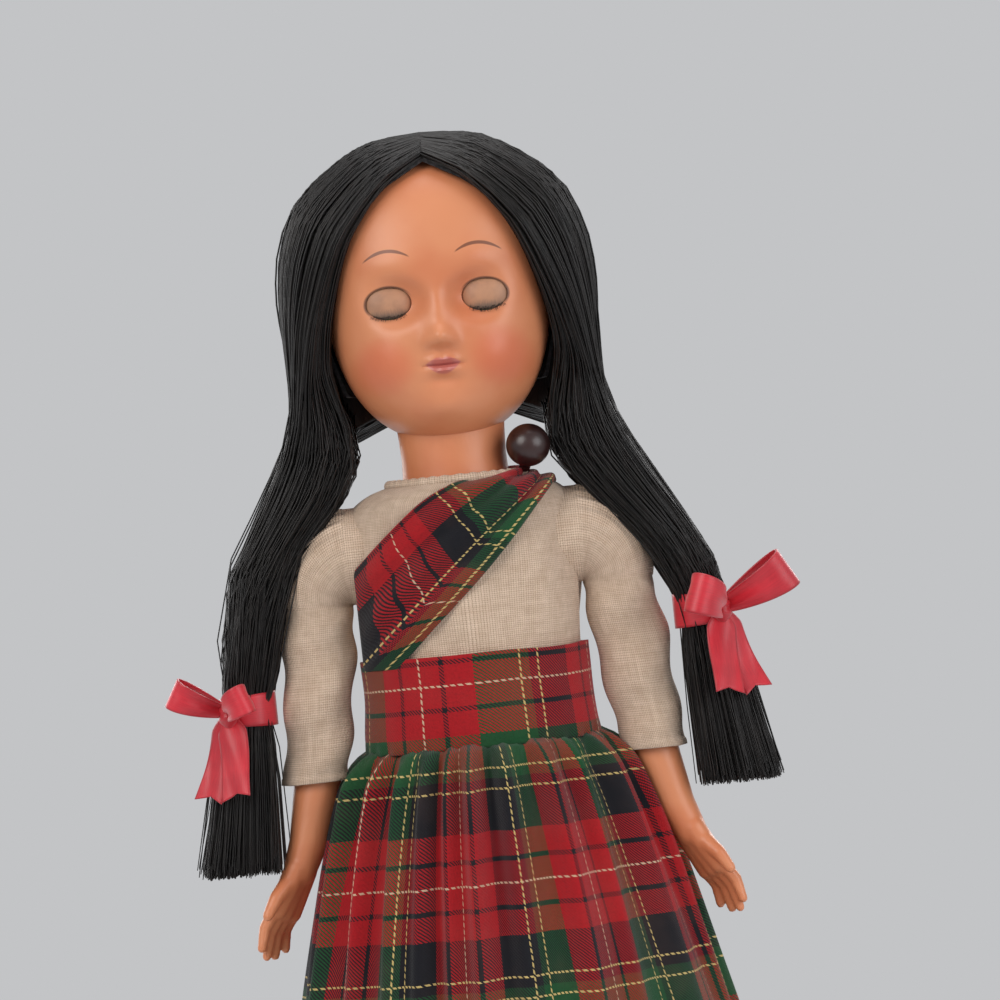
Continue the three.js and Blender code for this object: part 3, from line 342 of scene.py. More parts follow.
def makeCamera():
    data = bpy.data.cameras.new("camera")
    data.sensor_width = cameraPlan["sensor"]
    data.lens = cameraPlan["sensor"] * cameraPlan["away"] / cameraPlan["wide"]
    stand = (Vector(cameraPlan["aim"]) - Vector((0, cameraPlan["away"], 0))) * mm
    roll = Matrix.Rotation(math.radians(cameraPlan["roll"]), 4, "Z")
    camera = show("camera", data)
    camera.matrix_world = Matrix.Translation(stand) @ Matrix.Rotation(math.radians(90), 4, "X") @ roll
    bpy.context.scene.camera = camera


def makeLamp(name, spot, size, power, colour):
    data = bpy.data.lights.new(name, "AREA")
    data.shape = "DISK"
    data.size = size
    data.energy = power
    data.color = colour
    lamp = show(name, data)
    lamp.location = spot
    lamp.rotation_mode = "QUATERNION"
    lamp.rotation_quaternion = (Vector(stagePlan["middle"]) - Vector(spot)).to_track_quat("-Z", "Y")


def makeWorld():
    world = bpy.data.worlds.new("studio")
    bpy.context.scene.world = world
    world.use_nodes = True
    world.node_tree.nodes.clear()
    f = Flow(world.node_tree)
    seen = f.make("ShaderNodeLightPath", out=0).most(f.make("ShaderNodeLightPath", out=3))  # camera and glossy rays
    light = {"Color": stagePlan["ambient"], "Strength": stagePlan["strength"]}
    screen = {"Color": stagePlan["backdrop"], "Strength": 1.0}
    light, screen = (f.make("ShaderNodeBackground", None, inputs) for inputs in (light, screen))
    f.make("ShaderNodeMixShader", None, {0: seen, 1: light, 2: screen}).end("ShaderNodeOutputWorld")


def makeFloor():
    bm = bmesh.new()
    bmesh.ops.create_circle(bm, cap_ends=True, segments=96, radius=stagePlan["radius"])
    floor = rough("studioFloor", bm)
    pale = bpy.data.materials.new("paleFloor")
    pale.use_nodes = True
    pale.node_tree.nodes.clear()
    f = Flow(pale.node_tree)
    where = f.place()
    far = (where.part(0) ** 2.0 + where.part(1) ** 2.0) ** 0.5
    solid = f.make("ShaderNodeBsdfDiffuse", None, {"Color": stagePlan["floor"]})
    clear = f.make("ShaderNodeBsdfTransparent")
    both = f.make("ShaderNodeMixShader", None, {0: far.rise(*stagePlan["fade"]), 1: solid, 2: clear})
    both.end("ShaderNodeOutputMaterial")
    floor.data.transform(Matrix.Scale(mm, 4))
    floor.data.materials.append(pale)


bpy.context.scene.view_settings.view_transform = "Standard"
makeCamera()
makeWorld()
for name, lamp in lampPlan.items():
    makeLamp(name, *lamp)
makeFloor()
print("camera and stage")


# Head and face

headPlan = {
    "chin": 159.0, "height": 43.5, "halfWidth": 17.0, "face": 15.6, "back": 19.0,
    "wideAt": 24.0, "deepAt": 22.5,  # heights above the chin
    "around": 224, "rings": 144,
    "neck": [  # radius and height
        (0.01, 148.05), (4.6, 148.5), (7.1, 149.5), (8.2, 151.0), (8.0, 153.2),
        (7.85, 156.5), (8.0, 160.0), (8.3, 164.0), (0.01, 167.0),
    ],
}
reliefPlan = {  # how far each form stands out, its middle across and above the chin, and its reach across and up
    "noseTip": (2.3, 0, 15.0, 1.75, 1.7),
    "noseBridge": (0.75, 0, 18.2, 1.9, 2.9),
    "noseWing": (0.6, 1.85, 14.4, 0.8, 0.95),
    "nostril": (-0.5, 0.95, 13.35, 0.5, 0.4),
    "upperLip": (0.75, 0.95, 11.75, 1.15, 0.55),
    "lipSide": (0.35, 2.0, 11.35, 0.8, 0.45),
    "lowerLip": (0.95, 0, 10.15, 1.75, 0.68),
    "lipLine": (-0.55, 0, 10.98, 2.6, 0.24),
    "lipCorner": (-0.25, 2.8, 10.95, 0.5, 0.5),
    "lipGroove": (-0.22, 0, 12.9, 0.5, 0.7),
    "chinFold": (-0.45, 0, 8.6, 2.4, 0.8),
    "chin": (1.15, 0, 4.6, 3.7, 2.5),
    "cheek": (0.95, 8.6, 11, 4.2, 4.4),
    "brow": (0.35, 7.2, 26.6, 4.5, 1.8),
}
eyePlan = {
    "x": 7.1, "y": -9.5, "z": 179.7, "radius": 4.25,
    "wide": 3.4, "tall": 2.4,  # half the opening
    "room": 0.13,  # between the eye and its pocket
    "lashAngle": -31.0, "lashes": 41, "lashReach": 2.85,
    "irisAngle": -48.0, "iris": 2.0, "pupil": 0.9,
}
skinPlan = {
    "base": tint(214, 138, 97),
    "warm": tint(206, 122, 82),
    "blush": tint(206, 96, 64),
    "lips": tint(188, 98, 100),
    "lipLine": tint(132, 58, 60),
    "brow": tint(92, 52, 38),
    # painted liner together with painted shade along the rim of the eye opening
    "eyeLinerAndRimShade": tint(52, 36, 28),
    "mouth": 11.0,  # heights above the chin
    "browTop": 28.35,
}
eyeColours = {
    "white": tint(226, 220, 208),
    "iris": (tint(66, 84, 58), tint(104, 112, 70)),
    "ring": tint(28, 26, 20),
    "pupil": tint(10, 9, 9),
    "lid": (tint(186, 136, 104), tint(164, 120, 94)),
    "lidEdge": tint(100, 86, 76),
}
eyeRise = eyePlan["z"] - headPlan["chin"]


def skinBase(f):
    where = f.place()
    speck = f.grain(where, 900.0, 2.0)
    colour = f.grain(where, 70.0).rise(0.35, 0.7).mix(skinPlan["base"], skinPlan["warm"])
    return where, colour, 0.34 + 0.12 * speck, f.relief(speck, 0.12, 0.0002)


def plainSkin(f):
    return skinBase(f)[1:]


def faceSkin(f):
    where, colour, gloss, bump = skinBase(f)
    side = abs(where.part(0) * 1000.0)
    up = where.part(2) * 1000.0 - headPlan["chin"]
    front = (where.part(1) * 1000.0).rise(-4.0, -8.0)
    away = ((side - 8.8) / 5.2) ** 2.0 + ((up - 11.5) / 4.6) ** 2.0
    colour = (away.rise(1.2, 0.0) * front * 0.55).mix(colour, skinPlan["blush"])
    mouth = skinPlan["mouth"]
    notch = (1.0 - side / 0.9).most(0.0) * 0.35  # the dip in the middle of the upper lip
    lipTop = mouth + 1.3 * (1.0 - (side / 2.9).least(1.0) ** 1.6) - notch
    lipLow = mouth - 1.5 * (1.0 - (side / 2.5).least(1.0) ** 2.0)
    lips = (lipTop - up).rise(-0.12, 0.25) * (up - lipLow).rise(-0.12, 0.25) * side.rise(3.0, 2.5) * front
    parted = abs(up - mouth - 0.04 * side).rise(0.24, 0.05) * side.rise(2.8, 2.2) * front
    colour = (lips * 0.72).mix(colour, skinPlan["lips"])
    colour = (parted * 0.45).mix(colour, skinPlan["lipLine"])
    browMid = skinPlan["browTop"] - 0.1 * (side - 6.7) ** 2.0
    browThick = 0.06 + 0.13 * side.rise(3.3, 5.4) * side.rise(10.4, 8.2)
    brow = (abs(up - browMid) - browThick).rise(0.12, 0.0) * side.rise(3.2, 3.8) * side.rise(10.5, 9.8) * front
    colour = (brow * 0.8).mix(colour, skinPlan["brow"])
    fromEye, aboveEye = side - eyePlan["x"], up - eyeRise
    rim = ((fromEye / eyePlan["wide"]) ** 2.0 + (aboveEye / eyePlan["tall"]) ** 2.0) ** 0.5
    upper = (aboveEye + 0.5 * fromEye).rise(-1.6, 1.2)  # drawn along the top and down the outer corner
    # painted liner and painted shade along the upper and outer rim of the eye opening
    line = rim.rise(0.86, 1.0) * rim.rise(1.14, 1.03) * upper * front
    colour = (line * 0.8).mix(colour, skinPlan["eyeLinerAndRimShade"])
    return colour, gloss - 0.1 * lips, bump


def eyePaint(f):
    where = f.place()
    x = abs(where.part(0) * 1000.0) - eyePlan["x"]
    y = where.part(1) * 1000.0 - eyePlan["y"]
    z = where.part(2) * 1000.0 - eyePlan["z"]
    overEdge = z.angle(-y) * (180.0 / math.pi) + x ** 2.0 * 0.8 - eyePlan["lashAngle"]  # lower at the corners
    turn = math.radians(eyePlan["irisAngle"])
    across = z * math.cos(turn) + y * math.sin(turn)
    away = (x ** 2.0 + across ** 2.0) ** 0.5 + 9.0 * (-y).rise(0.4, -0.4)
    iris, pupil = eyePlan["iris"], eyePlan["pupil"]
    spokes = f.grain(where, 2600.0, 2.0).rise(0.3, 0.7).mix(*eyeColours["iris"])
    ball = away.rise(iris + 0.12, iris - 0.1).mix(eyeColours["white"], spokes)
    ringed = away.rise(iris + 0.12, iris - 0.02).mix(ball, eyeColours["ring"])
    ball = away.rise(iris - 0.05, iris - 0.35).mix(ringed, ball)
    ball = away.rise(pupil + 0.08, pupil - 0.08).mix(ball, eyeColours["pupil"])
    cloud = f.grain(where, 420.0)
    lid = cloud.rise(0.3, 0.75).mix(*eyeColours["lid"])
    hairs = f.streaks(where, (5200.0, 900.0, 900.0))
    edge = (overEdge + 14.0 * (hairs - 0.5)).rise(24.0, 3.0)
    lid = (edge * 0.85).mix(lid, eyeColours["lidEdge"])
    lidded = overEdge.rise(-1.0, 1.0)
    return lidded.mix(ball, lid), 0.2 + 0.34 * lidded, f.relief(cloud, 0.1, 0.0001)


def fibre(dark, light, scale):
    def build(f):
        where = f.place()
        streak = f.streaks(where, (scale, scale, scale * 0.06), 4.0, 0.65)
        tone = f.grain(where, 60.0)
        colour = (streak.rise(0.3, 0.75) * 0.7 + tone.rise(0.3, 0.8) * 0.3).mix(dark, light)
        return colour, 0.3 + 0.2 * streak, f.relief(streak, 0.5, 0.0004)

    return build


paint("skin", "skinPlastic", plainSkin, {"Specular IOR Level": 0.45})
paint("face", "faceSkin", faceSkin, {"Specular IOR Level": 0.45})
paint("eye", "sleepEye", eyePaint)
paint("lash", "lashFibre", fibre(tint(22, 18, 16), tint(64, 54, 48), 1400.0))


def swell(height, widest, lowPower, highPower):  # the share of its full size that the head has at a height
    away = height - widest
    share, power = (-away / widest, lowPower) if away < 0 else (away / (headPlan["height"] - widest), highPower)
    return max(0.0, 1 - min(share, 1.0) ** power) ** (1 / power)


def faceRelief(x, z):
    side = abs(x)
    relief = 0.0
    for out, atX, atZ, wide, tall in reliefPlan.values():
        relief += out * math.exp(-(((side - atX) / wide) ** 2) - ((z - atZ) / tall) ** 2)
    fromEye = side - eyePlan["x"]
    rim = math.hypot(fromEye / eyePlan["wide"], (z - eyeRise) / eyePlan["tall"])
    return relief - (1.55 - 0.4 * fromEye) * math.exp(-((rim / 1.42) ** 4))  # the eye sockets


def headPoint(around, height):
    halfWidth = headPlan["halfWidth"] * swell(height, headPlan["wideAt"], 2.3, 2.1)
    front = headPlan["face"] * swell(height, headPlan["deepAt"], 3.3, 2.2)
    back = headPlan["back"] * swell(height, headPlan["wideAt"], 2.2, 2.1)
    across = math.sin(around)
    along = math.copysign(max(0.0, 1 - abs(across) ** 2.3) ** (1 / 2.3), math.cos(around))
    x = halfWidth * across
    y = -along * (front if along > 0 else back)
    if y < 0:
        y -= faceRelief(x, height) * min(1.0, -y / 6)
    return Vector((x, y, headPlan["chin"] + height))


def eyeFull(spot, radius):  # a little fuller at its sides than a ball, and still round about its axle
    share = min(1.0, abs(spot.x) / radius)
    if share > 0.999:
        return spot
    full = (1 - share ** 2.6) ** (1 / 2.6) / math.sqrt(1 - share ** 2)
    return Vector((spot.x, spot.y * full, spot.z * full))


def eyeBall(side, radius, segments, rings, axle=None):  # axle is the way its poles point
    bm = bmesh.new()
    bmesh.ops.create_uvsphere(bm, u_segments=segments, v_segments=rings, radius=radius)
    if axle:
        bmesh.ops.rotate(bm, verts=bm.verts, cent=(0, 0, 0), matrix=Matrix.Rotation(math.radians(90), 3, axle))
    for vert in bm.verts:
        vert.co = eyeFull(vert.co, radius)
    if axle:
        cutAway(bm, (0, 1.9, 0), (0, 1, 0))  # the back is open for the rocker
    bmesh.ops.translate(bm, verts=bm.verts, vec=(side * eyePlan["x"], eyePlan["y"], eyePlan["z"]))
    return faceOut(bm)


def makeHead():
    bm = bmesh.new()
    bmesh.ops.create_uvsphere(bm, u_segments=headPlan["around"], v_segments=headPlan["rings"], radius=1.0)
    for vert in bm.verts:
        height = headPlan["height"] * (1 + max(-1.0, min(1.0, vert.co.z))) / 2
        vert.co = headPoint(math.atan2(vert.co.x, -vert.co.y), height)
    head = rough("head", faceOut(bm))
    neck = bmesh.new()
    verts = [neck.verts.new((r, 0, z)) for r, z in headPlan["neck"]]
    edges = [neck.edges.new(pair) for pair in zip(verts, verts[1:])]
    bmesh.ops.spin(
        neck, geom=verts + edges, axis=(0, 0, 1), cent=(0, 0, 0), steps=72, angle=math.tau, use_merge=True
    )
    bmesh.ops.remove_doubles(neck, verts=neck.verts, dist=0.02)
    carve(head, rough("neck", faceOut(neck)), "UNION")
    for side in (-1, 1):
        hole = bmesh.new()
        turn = Matrix.Translation((side * eyePlan["x"], -18.0, eyePlan["z"]))
        turn = turn @ Matrix.Diagonal((eyePlan["wide"], 1.0, eyePlan["tall"], 1.0))
        turn = turn @ Matrix.Rotation(math.radians(90), 4, "X")
        bmesh.ops.create_cone(hole, cap_ends=True, segments=96, radius1=1.0, radius2=1.0, depth=17.0, matrix=turn)
        carve(head, rough("opening", faceOut(hole)))
        carve(head, rough("pocket", eyeBall(side, eyePlan["radius"] + eyePlan["room"], 64, 40)))
    settle(head, "head", "face", ("head_front", "head_back"), sharp=42)


def makeEye(name, side):
    eye = rough(f"eyeball_{name}", eyeBall(side, eyePlan["radius"], 64, 48, "Y"))
    settle(eye, "eyes", "eye", (f"eye_{name}",), sharp=50)
    lashes = bmesh.new()
    for i in range(eyePlan["lashes"]):
        share = 2 * i / (eyePlan["lashes"] - 1) - 1
        x = eyePlan["lashReach"] * share
        deep = math.sqrt(eyePlan["radius"] ** 2 - x * x)
        deep = eyeFull(Vector((x, deep, 0)), eyePlan["radius"]).y - 0.1
        tilt = math.radians(eyePlan["lashAngle"] + 4.0 + 0.5 * x * x + dice.uniform(-2.5, 2.5))
        foot = Vector((side * eyePlan["x"] + x, eyePlan["y"], eyePlan["z"]))
        foot += Vector((0, -math.cos(tilt), math.sin(tilt))) * deep
        long = dice.uniform(0.8, 1.1) * (1 - 0.25 * share * share)
        point = Vector((0.2 * share + dice.uniform(-0.08, 0.08), -1.0, -0.75 - 0.2 * dice.random())).normalized()
        place = Matrix.Translation(foot + point * long / 2) @ point.to_track_quat("Z", "Y").to_matrix().to_4x4()
        bmesh.ops.create_cone(
            lashes, cap_ends=True, segments=5, radius1=0.055, radius2=0.025, depth=long, matrix=place
        )
    settle(rough(f"lashes_{name}", lashes), "eyes", "lash", (f"eyelash_{name}",))


makeHead()
for name, side in sides.items():
    makeEye(name, side)
print("head and eyes")


# Hair: a dark mass on each side, with combed strands from the parting to the cut ends

hairPlan = {
    "middle": Vector((0.0, 1.0, 181.0)),
    "inner": (18.4, 17.4, 19.9, 23.0, 34.0),  # side, front, back, top and foot of the scalp
    "outer": (23.6, 18.8, 24.0, 24.3, 60.0),
    "bed": 0.34,  # how deep the mass under the strands goes, as a share of the hair
    "locks": 4,  # separate pieces of strands on each side
    "strands": 680,
    "points": (16, 10),  # over the head, and down the tail
    "thick": 0.142,
    "left": {"tie": 130.0, "end": 105.0},
    "right": {"tie": 122.0, "end": 98.6},
}
combs = [  # ways from the middle of the head that strands pass from the parting to the jaw, from the face to the nape
    (0, -0.466, 0.885, 0.565, -0.683, 0.462, 0.75, -0.64, 0.1, 0.81, -0.42, -0.34, 0.8, -0.28, -0.56),
    (0, 0.12, 1.0, 0.75, 0.12, 0.65, 1.0, 0.15, 0.1, 0.93, 0.17, -0.3, 0.83, 0.18, -0.55),
    (0, 0.9, 0.42, 0.38, 0.9, 0.12, 0.6, 0.8, -0.12, 0.72, 0.62, -0.38, 0.74, 0.46, -0.58),
    (0, 0.78, -0.5, 0.16, 0.78, -0.56, 0.33, 0.72, -0.62, 0.48, 0.63, -0.68, 0.58, 0.52, -0.72),
]
hairTones = {  # dark, light and gloss
    "hairDeep": (tint(12, 10, 9), tint(32, 27, 25), 0.35),
    "hairMid": (tint(20, 17, 15), tint(50, 43, 38), 0.4),
    "hairPale": (tint(34, 28, 25), tint(76, 64, 56), 0.45),
}
for key, (dark, light, gloss) in hairTones.items():
    paint(key, key, fibre(dark, light, 900.0), {"Specular IOR Level": gloss})


def tailStations(tie, end):
    return [  # height, middle x and y, half-width and half-depth
        (160.5, 18.4, 2.0, 6.2, 9.0),
        (156.5, 19.6, 1.5, 7.4, 8.6),
        (152.0, 22.6, 0.8, 6.8, 8.0),
        (146.5, 27.2, -0.2, 5.4, 7.2),
        (141.0, 30.8, -0.9, 4.7, 6.4),
        (tie + 5.0, 33.5, -1.6, 4.4, 5.2),
        (tie, 34.4, -1.8, 3.25, 3.75),
        (tie - 4.0, 35.0, -1.9, 4.3, 4.9),
        ((tie + end) / 2 - 1.5, 36.0, -2.1, 5.2, 5.7),
        (end, 37.3, -2.3, 6.4, 6.6),
    ]


tails = {name: tailStations(**hairPlan[name]) for name in sides}


def shellReach(way, form):
    halfWidth, front, back, top, foot = form
    sizes = (halfWidth, front if way.y < 0 else back, top if way.z > 0 else foot)
    return sum(abs(w / size) ** 2.35 for w, size in zip(way, sizes)) ** (-1 / 2.35)


def combLine(sweep):  # the ways for one strand, from the face at 0 to the nape at 1
    mixed = between(combs, sweep)
    return [mixed[i:i + 3] for i in range(0, len(mixed), 3)]


def combPoint(line, along, depth, side):
    way = Vector(between(line, along)).normalized()
    near, far = (shellReach(way, hairPlan[form]) for form in ("inner", "outer"))
    spot = hairPlan["middle"] + way * (near + (far - near) * depth)
    return Vector((side * max(spot.x, 0.05), spot.y, spot.z))


def tailPoint(name, side, share, cross):  # cross is a place in the round of the tail
    z, x, y, wide, deep = between(tails[name], share)
    return Vector((side * (x + cross[0] * wide), y + cross[1] * deep, z))


def intoRound(sweep, depth):  # a square of strands fits into a round tail
    a, b = 2 * depth - 1, 2 * sweep - 1
    return (a * math.sqrt(1 - b * b / 2), b * math.sqrt(1 - a * a / 2))


def strandPath(name, side, sweep, depth, stray):
    bed = hairPlan["bed"]
    cross = intoRound(sweep, max(0.0, depth - bed) / (1 - bed))  # strands go all round the tail
    line = combLine(sweep)
    points = [combPoint(line, k / 8, depth, side) for k in range(9)]
    points += [tailPoint(name, side, k / 9, cross) for k in range(10)]
    points[-1] = points[-1] + Vector((0, 0, stray["cut"]))
    for _ in range(2):  # a soft bend where the hair leaves the head
        points[6:13] = [(points[i - 1] + points[i] * 2 + points[i + 1]) / 4 for i in range(6, 13)]
    head, tail = hairPlan["points"]
    turnOver, step = 8.5 / 18, stray["step"]
    drifts = [turnOver * max(0, k - step) / head for k in range(head)]
    drifts += [min(1.0, turnOver + (1 - turnOver) * (k - step) / (tail - 2)) for k in range(tail)]
    path = []
    for drift in drifts:
        wander = Vector((ripple(stray["a"], drift * 2.6, 0.0), ripple(stray["b"], drift * 2.6, 5.0), 0.0))
        spot = Vector(between(points, drift))
        held = 1 - 0.9 * math.exp(-(((spot.z - hairPlan[name]["tie"]) / 4.0) ** 2))  # the ribbon holds them
        path.append(spot + wander * (stray["loose"] * (0.5 + drift) * held))
    return path


def hangFree(piece):  # bakes the piece's place into its mesh
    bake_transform(piece)


def makeHairMass(name, side):
    def shell(u, v):
        return combPoint(combLine(0.02 + 0.98 * u), v, 0.36 * smooth(-0.02, 0.12, u), side)

    sew(f"hairMass_{name}", (48, 40), (1, 1), shell, "head", "hairDeep", thick=0.8, middle=hairPlan["middle"])

    def core(u, v):
        turn = u * math.tau
        full = 0.8 * smooth(-0.01, 0.2, v)
        return tailPoint(name, side, 0.99 * v, (full * math.sin(turn), full * math.cos(turn)))

    bm = clothGrid(36, 60, (1, 1), core, closed=True)
    closeUp(bm)
    hangFree(settle(rough(f"tailMass_{name}", faceOut(bm)), None, "hairDeep", sharp=60))


def makeStrands(name, side, lock):
    data = bpy.data.curves.new(f"strandCurves_{name}_{lock}", "CURVE")
    data.dimensions = "3D"
    data.bevel_depth = hairPlan["thick"]
    data.bevel_resolution = 0
    data.use_fill_caps = True
    for _ in range(hairPlan["strands"]):
        sweep = dice.random()
        depth = hairPlan["bed"] + (1 - hairPlan["bed"]) * dice.random() ** 0.6
        if sweep < 0.1:  # the edge beside the face is filled down to the scalp
            depth = dice.random()
        stray = {
            "a": dice.uniform(0, 90),
            "b": dice.uniform(0, 90),
            "cut": dice.uniform(-1.2, 1.6),
            "loose": 0.35 + 1.9 * dice.random() ** 7,
            "step": dice.random(),
        }
        path = strandPath(name, side, sweep, depth, stray)
        spline = data.splines.new("POLY")
        spline.points.add(len(path) - 1)
        for i, (point, spot) in enumerate(zip(spline.points, path)):
            point.co = (*spot, 1.0)
            point.radius = 1.0 - 0.5 * (i / (len(path) - 1)) ** 4  # finer at the cut end
        spline.material_index = dice.choice((0, 0, 1, 1, 1, 2))
    curve = show(f"strandCurves_{name}_{lock}", data)
    mesh = meshOf(curve)
    bpy.data.objects.remove(curve)
    stands = (f"hair_{name}", f"hair_tail_{name}") if lock == 0 else ()
    strands = show(f"hairStrands_{name}_{lock}", mesh)
    hangFree(settle(strands, None, list(hairTones), stands))


for name, side in sides.items():
    makeHairMass(name, side)
    for lock in range(hairPlan["locks"]):
        makeStrands(name, side, lock)
print("hair")


# Cloth finishes

cottonPlan = {  # base, shade (a darker tone mixed in at random), painted shade in the gaps between threads, and the width of a thread in metres
    "blouse": (tint(230, 206, 184), tint(198, 171, 147), tint(160, 132, 110), 0.00034),
    "knickers": (tint(240, 236, 226), tint(214, 208, 198), tint(186, 180, 170), 0.0003),
}
tartanPlan = {
    "sett": 60.0,  # mm from one red band to the next like it
    "thread": 0.13,
    "fancy": 0.3,  # the light threads, and the length of their stitch
    "stitch": 1.0,
    "red": tint(170, 22, 30),
    "green": tint(24, 76, 42),
    "black": tint(22, 22, 28),
    "pale": tint(206, 180, 116),
    "white": tint(212, 186, 156),
    "dark": tint(16, 12, 14),
    "faded": tint(150, 110, 96),
    "hemThread": tint(96, 16, 24),
    "skirt": (-126.8, -55.9, 5.8),  # where the sett starts, and the skirt's hem line
    "band": (-15.8, 20.4),
    "sash": (-11.4, -17.6),
}


def weave(where, thread):  # plain weave: how high the thread on top stands
    u, v = where.part(0) / thread, where.part(1) / thread
    warp, weft = abs((u * math.pi).wave()), abs((v * math.pi).wave())
    odd = (u.floor() + v.floor()) % 2.0
    return odd * (warp * (0.55 + 0.45 * weft)) + (1.0 - odd) * (weft * (0.55 + 0.45 * warp))


def cottonWeave(base, shade, threadShade, thread):
    def build(f):
        where = f.cloth()
        wobble = f.grain(where, 420.0)
        slub = f.streaks(where, (160.0, 3200.0, 1.0)) + f.streaks(where, (3200.0, 160.0, 1.0))
        top = weave(where, thread)
        colour = (wobble * 0.5 + slub * 0.35).rise(0.35, 0.85).mix(shade, base)
        # painted shade: the cotton darkens where its threads dip, in the gaps between them
        colour = top.rise(0.0, 0.55).mix(threadShade, colour)
        return colour, 0.86 + 0.1 * wobble, f.relief(top + 0.35 * slub, 0.55, 0.00022)

    return build


def settBand(along):  # the colour of a ground thread, and where the fancy threads lie, in mm across the sett
    half = tartanPlan["sett"] / 2
    spot = abs((along + half) % tartanPlan["sett"] - half)  # 0 in a red between blacks, 30 in a red between greens
    inRed = (spot < 7.5).most(spot > 22.5)
    inGreen = spot > 15.0
    colour = inGreen.mix(tartanPlan["black"], tartanPlan["green"])
    colour = inRed.mix(colour, tartanPlan["red"])
    fromRed = spot.least(half - spot)  # mm from the middle of the nearer red
    colour = (abs(fromRed - 3.5) < 0.36).mix(colour, tartanPlan["black"])
    fine = tartanPlan["fancy"] / 2
    pair = (abs(spot - 13.5) < fine).most(abs(spot - 16.5) < fine)
    return colour, fromRed < fine, pair


def tartanWeave(startU, startV, hem=None):
    def build(f):
        where = f.cloth()
        sway = (f.grain(where, 260.0, 2.0) - 0.5) * 0.2
        u, v = where.part(0) * 1000.0 + sway, where.part(1) * 1000.0 + sway
        warpThread, weftThread = u / tartanPlan["thread"], v / tartanPlan["thread"]
        odd = ((warpThread.floor() + weftThread.floor()) % 4.0) < 1.5  # two over, two under
        warp, warpCentre, warpPair = settBand(u + startU)
        weft, weftCentre, weftPair = settBand(v + startV)
        colour = odd.mix(warp, weft)
        dash = ((u + v) % tartanPlan["stitch"]) < tartanPlan["stitch"] * 0.62
        centre, pair = warpCentre.most(weftCentre) * dash, warpPair.most(weftPair) * dash
        fuzz = f.grain(where, 2600.0, 3.0, 0.7)
        fade = f.grain(where, 90.0)
        colour = (fuzz.rise(0.62, 0.2) * 0.3).mix(colour, tartanPlan["dark"])
        colour = (centre * 0.8).mix(colour, tartanPlan["white"])
        colour = (pair * 0.9).mix(colour, tartanPlan["pale"])
        colour = (fade.rise(0.4, 0.8) * 0.08).mix(colour, tartanPlan["faded"])
        if hem is not None:
            seam = (abs(v - hem) < 0.16) * ((u % 1.9) < 1.25)
            colour = (seam * 0.85).mix(colour, tartanPlan["hemThread"])
        warpRidge, weftRidge = (abs((t * math.pi).wave()) for t in (warpThread, weftThread))
        height = odd * weftRidge + (1.0 - odd) * warpRidge + 0.4 * fuzz + 0.8 * centre.most(pair)
        return colour, 0.84 + 0.12 * fuzz, f.relief(height, 0.45, 0.00018)

    return build


def ribKnit(base, shade):
    def build(f):
        where = f.cloth()
        u = where.part(0) * (math.pi / 0.0006)
        v = where.part(1) * (math.pi / 0.0005)
        fuzz = f.grain(where, 2400.0)
        top = abs((u + 0.6 * v.wave()).wave()) * 0.7 + abs((v + 0.9 * u.wave()).wave()) * 0.3
        # painted shade: the knit is darker where it dips between its loops
        colour = (top * 0.8 + fuzz * 0.3).rise(0.1, 0.85).mix(shade, base)
        return colour, 0.88 + 0.08 * fuzz, f.relief(top + 0.2 * fuzz, 0.6, 0.0003)

    return build


def nap(sheen):  # how cloth takes the light
    return {"Sheen Weight": sheen, "Specular IOR Level": 0.2}


paint("blouse", "blouseCotton", cottonWeave(*cottonPlan["blouse"]), nap(0.15))
paint("white", "knickerCotton", cottonWeave(*cottonPlan["knickers"]), nap(0.1))
for key in ("skirt", "band", "sash"):
    paint(key, f"{key}Tartan", tartanWeave(*tartanPlan[key]), nap(0.12))
paint("sock", "sockKnit", ribKnit(tint(242, 240, 234), tint(196, 192, 184)), nap(0.15))


# Clothes on the body

torsoStations = [  # height, half-width, depth in front and depth behind
    (91.55, 5.5, 5.0, 5.4),
    (93.44, 9.5, 7.4, 8.0),
    (98.48, 14.0, 9.4, 10.8),
    (105.2, 15.3, 10.9, 11.6),
    (112.76, 15.0, 11.5, 10.6),
    (122.0, 14.1, 10.7, 9.2),
    (131.24, 15.0, 10.4, 9.6),
    (139.64, 15.9, 9.7, 9.4),
    (144.68, 15.5, 9.3, 9.2),
    (148.04, 14.2, 9.3, 9.3),
    (150.98, 11.2, 9.5, 9.5),
]
blouseStations = [
    (124.0, 15.9, 12.3, 10.9),
    (128.0, 16.3, 12.2, 11.1),
    (132.0, 16.8, 12.1, 11.3),
    (136.0, 17.2, 11.8, 11.3),
    (140.0, 17.4, 11.4, 11.1),
    (144.0, 17.3, 11.1, 10.9),
    (147.6, 17.0, 11.0, 10.9),
    (150.2, 15.9, 11.0, 10.9),
    (151.9, 13.4, 10.8, 10.8),
    (152.8, 10.6, 10.2, 10.2),
]
torsoSize = heightTable(torsoStations, 92, 2, 119)
blouseSize = heightTable(blouseStations, 124, 4, 116)
torsoSquare = 2.3


def bodyPoint(turn, z, grow):
    return hoop(turn, z, *torsoSize(z), torsoSquare, grow)


def blousePoint(turn, share, grow):
    return hoop(turn, *between(blouseStations, share), torsoSquare, grow)


blousePlan = {"flat": (100.0, 42.0), "thick": 0.45, "binding": 0.75}
lapPlan = {"wide": 0.3, "start": 0.35, "rise": 0.3, "thick": 0.4}  # the back opening: radians round the body, and mm


def lapTurn(u):
    return math.pi + lapPlan["wide"] * (u - lapPlan["start"])


def lapRise(u):  # the lap's edges run into the cloth under it
    return lapPlan["rise"] * smooth(0.0, 0.12, u) * smooth(1.0, 0.88, u)


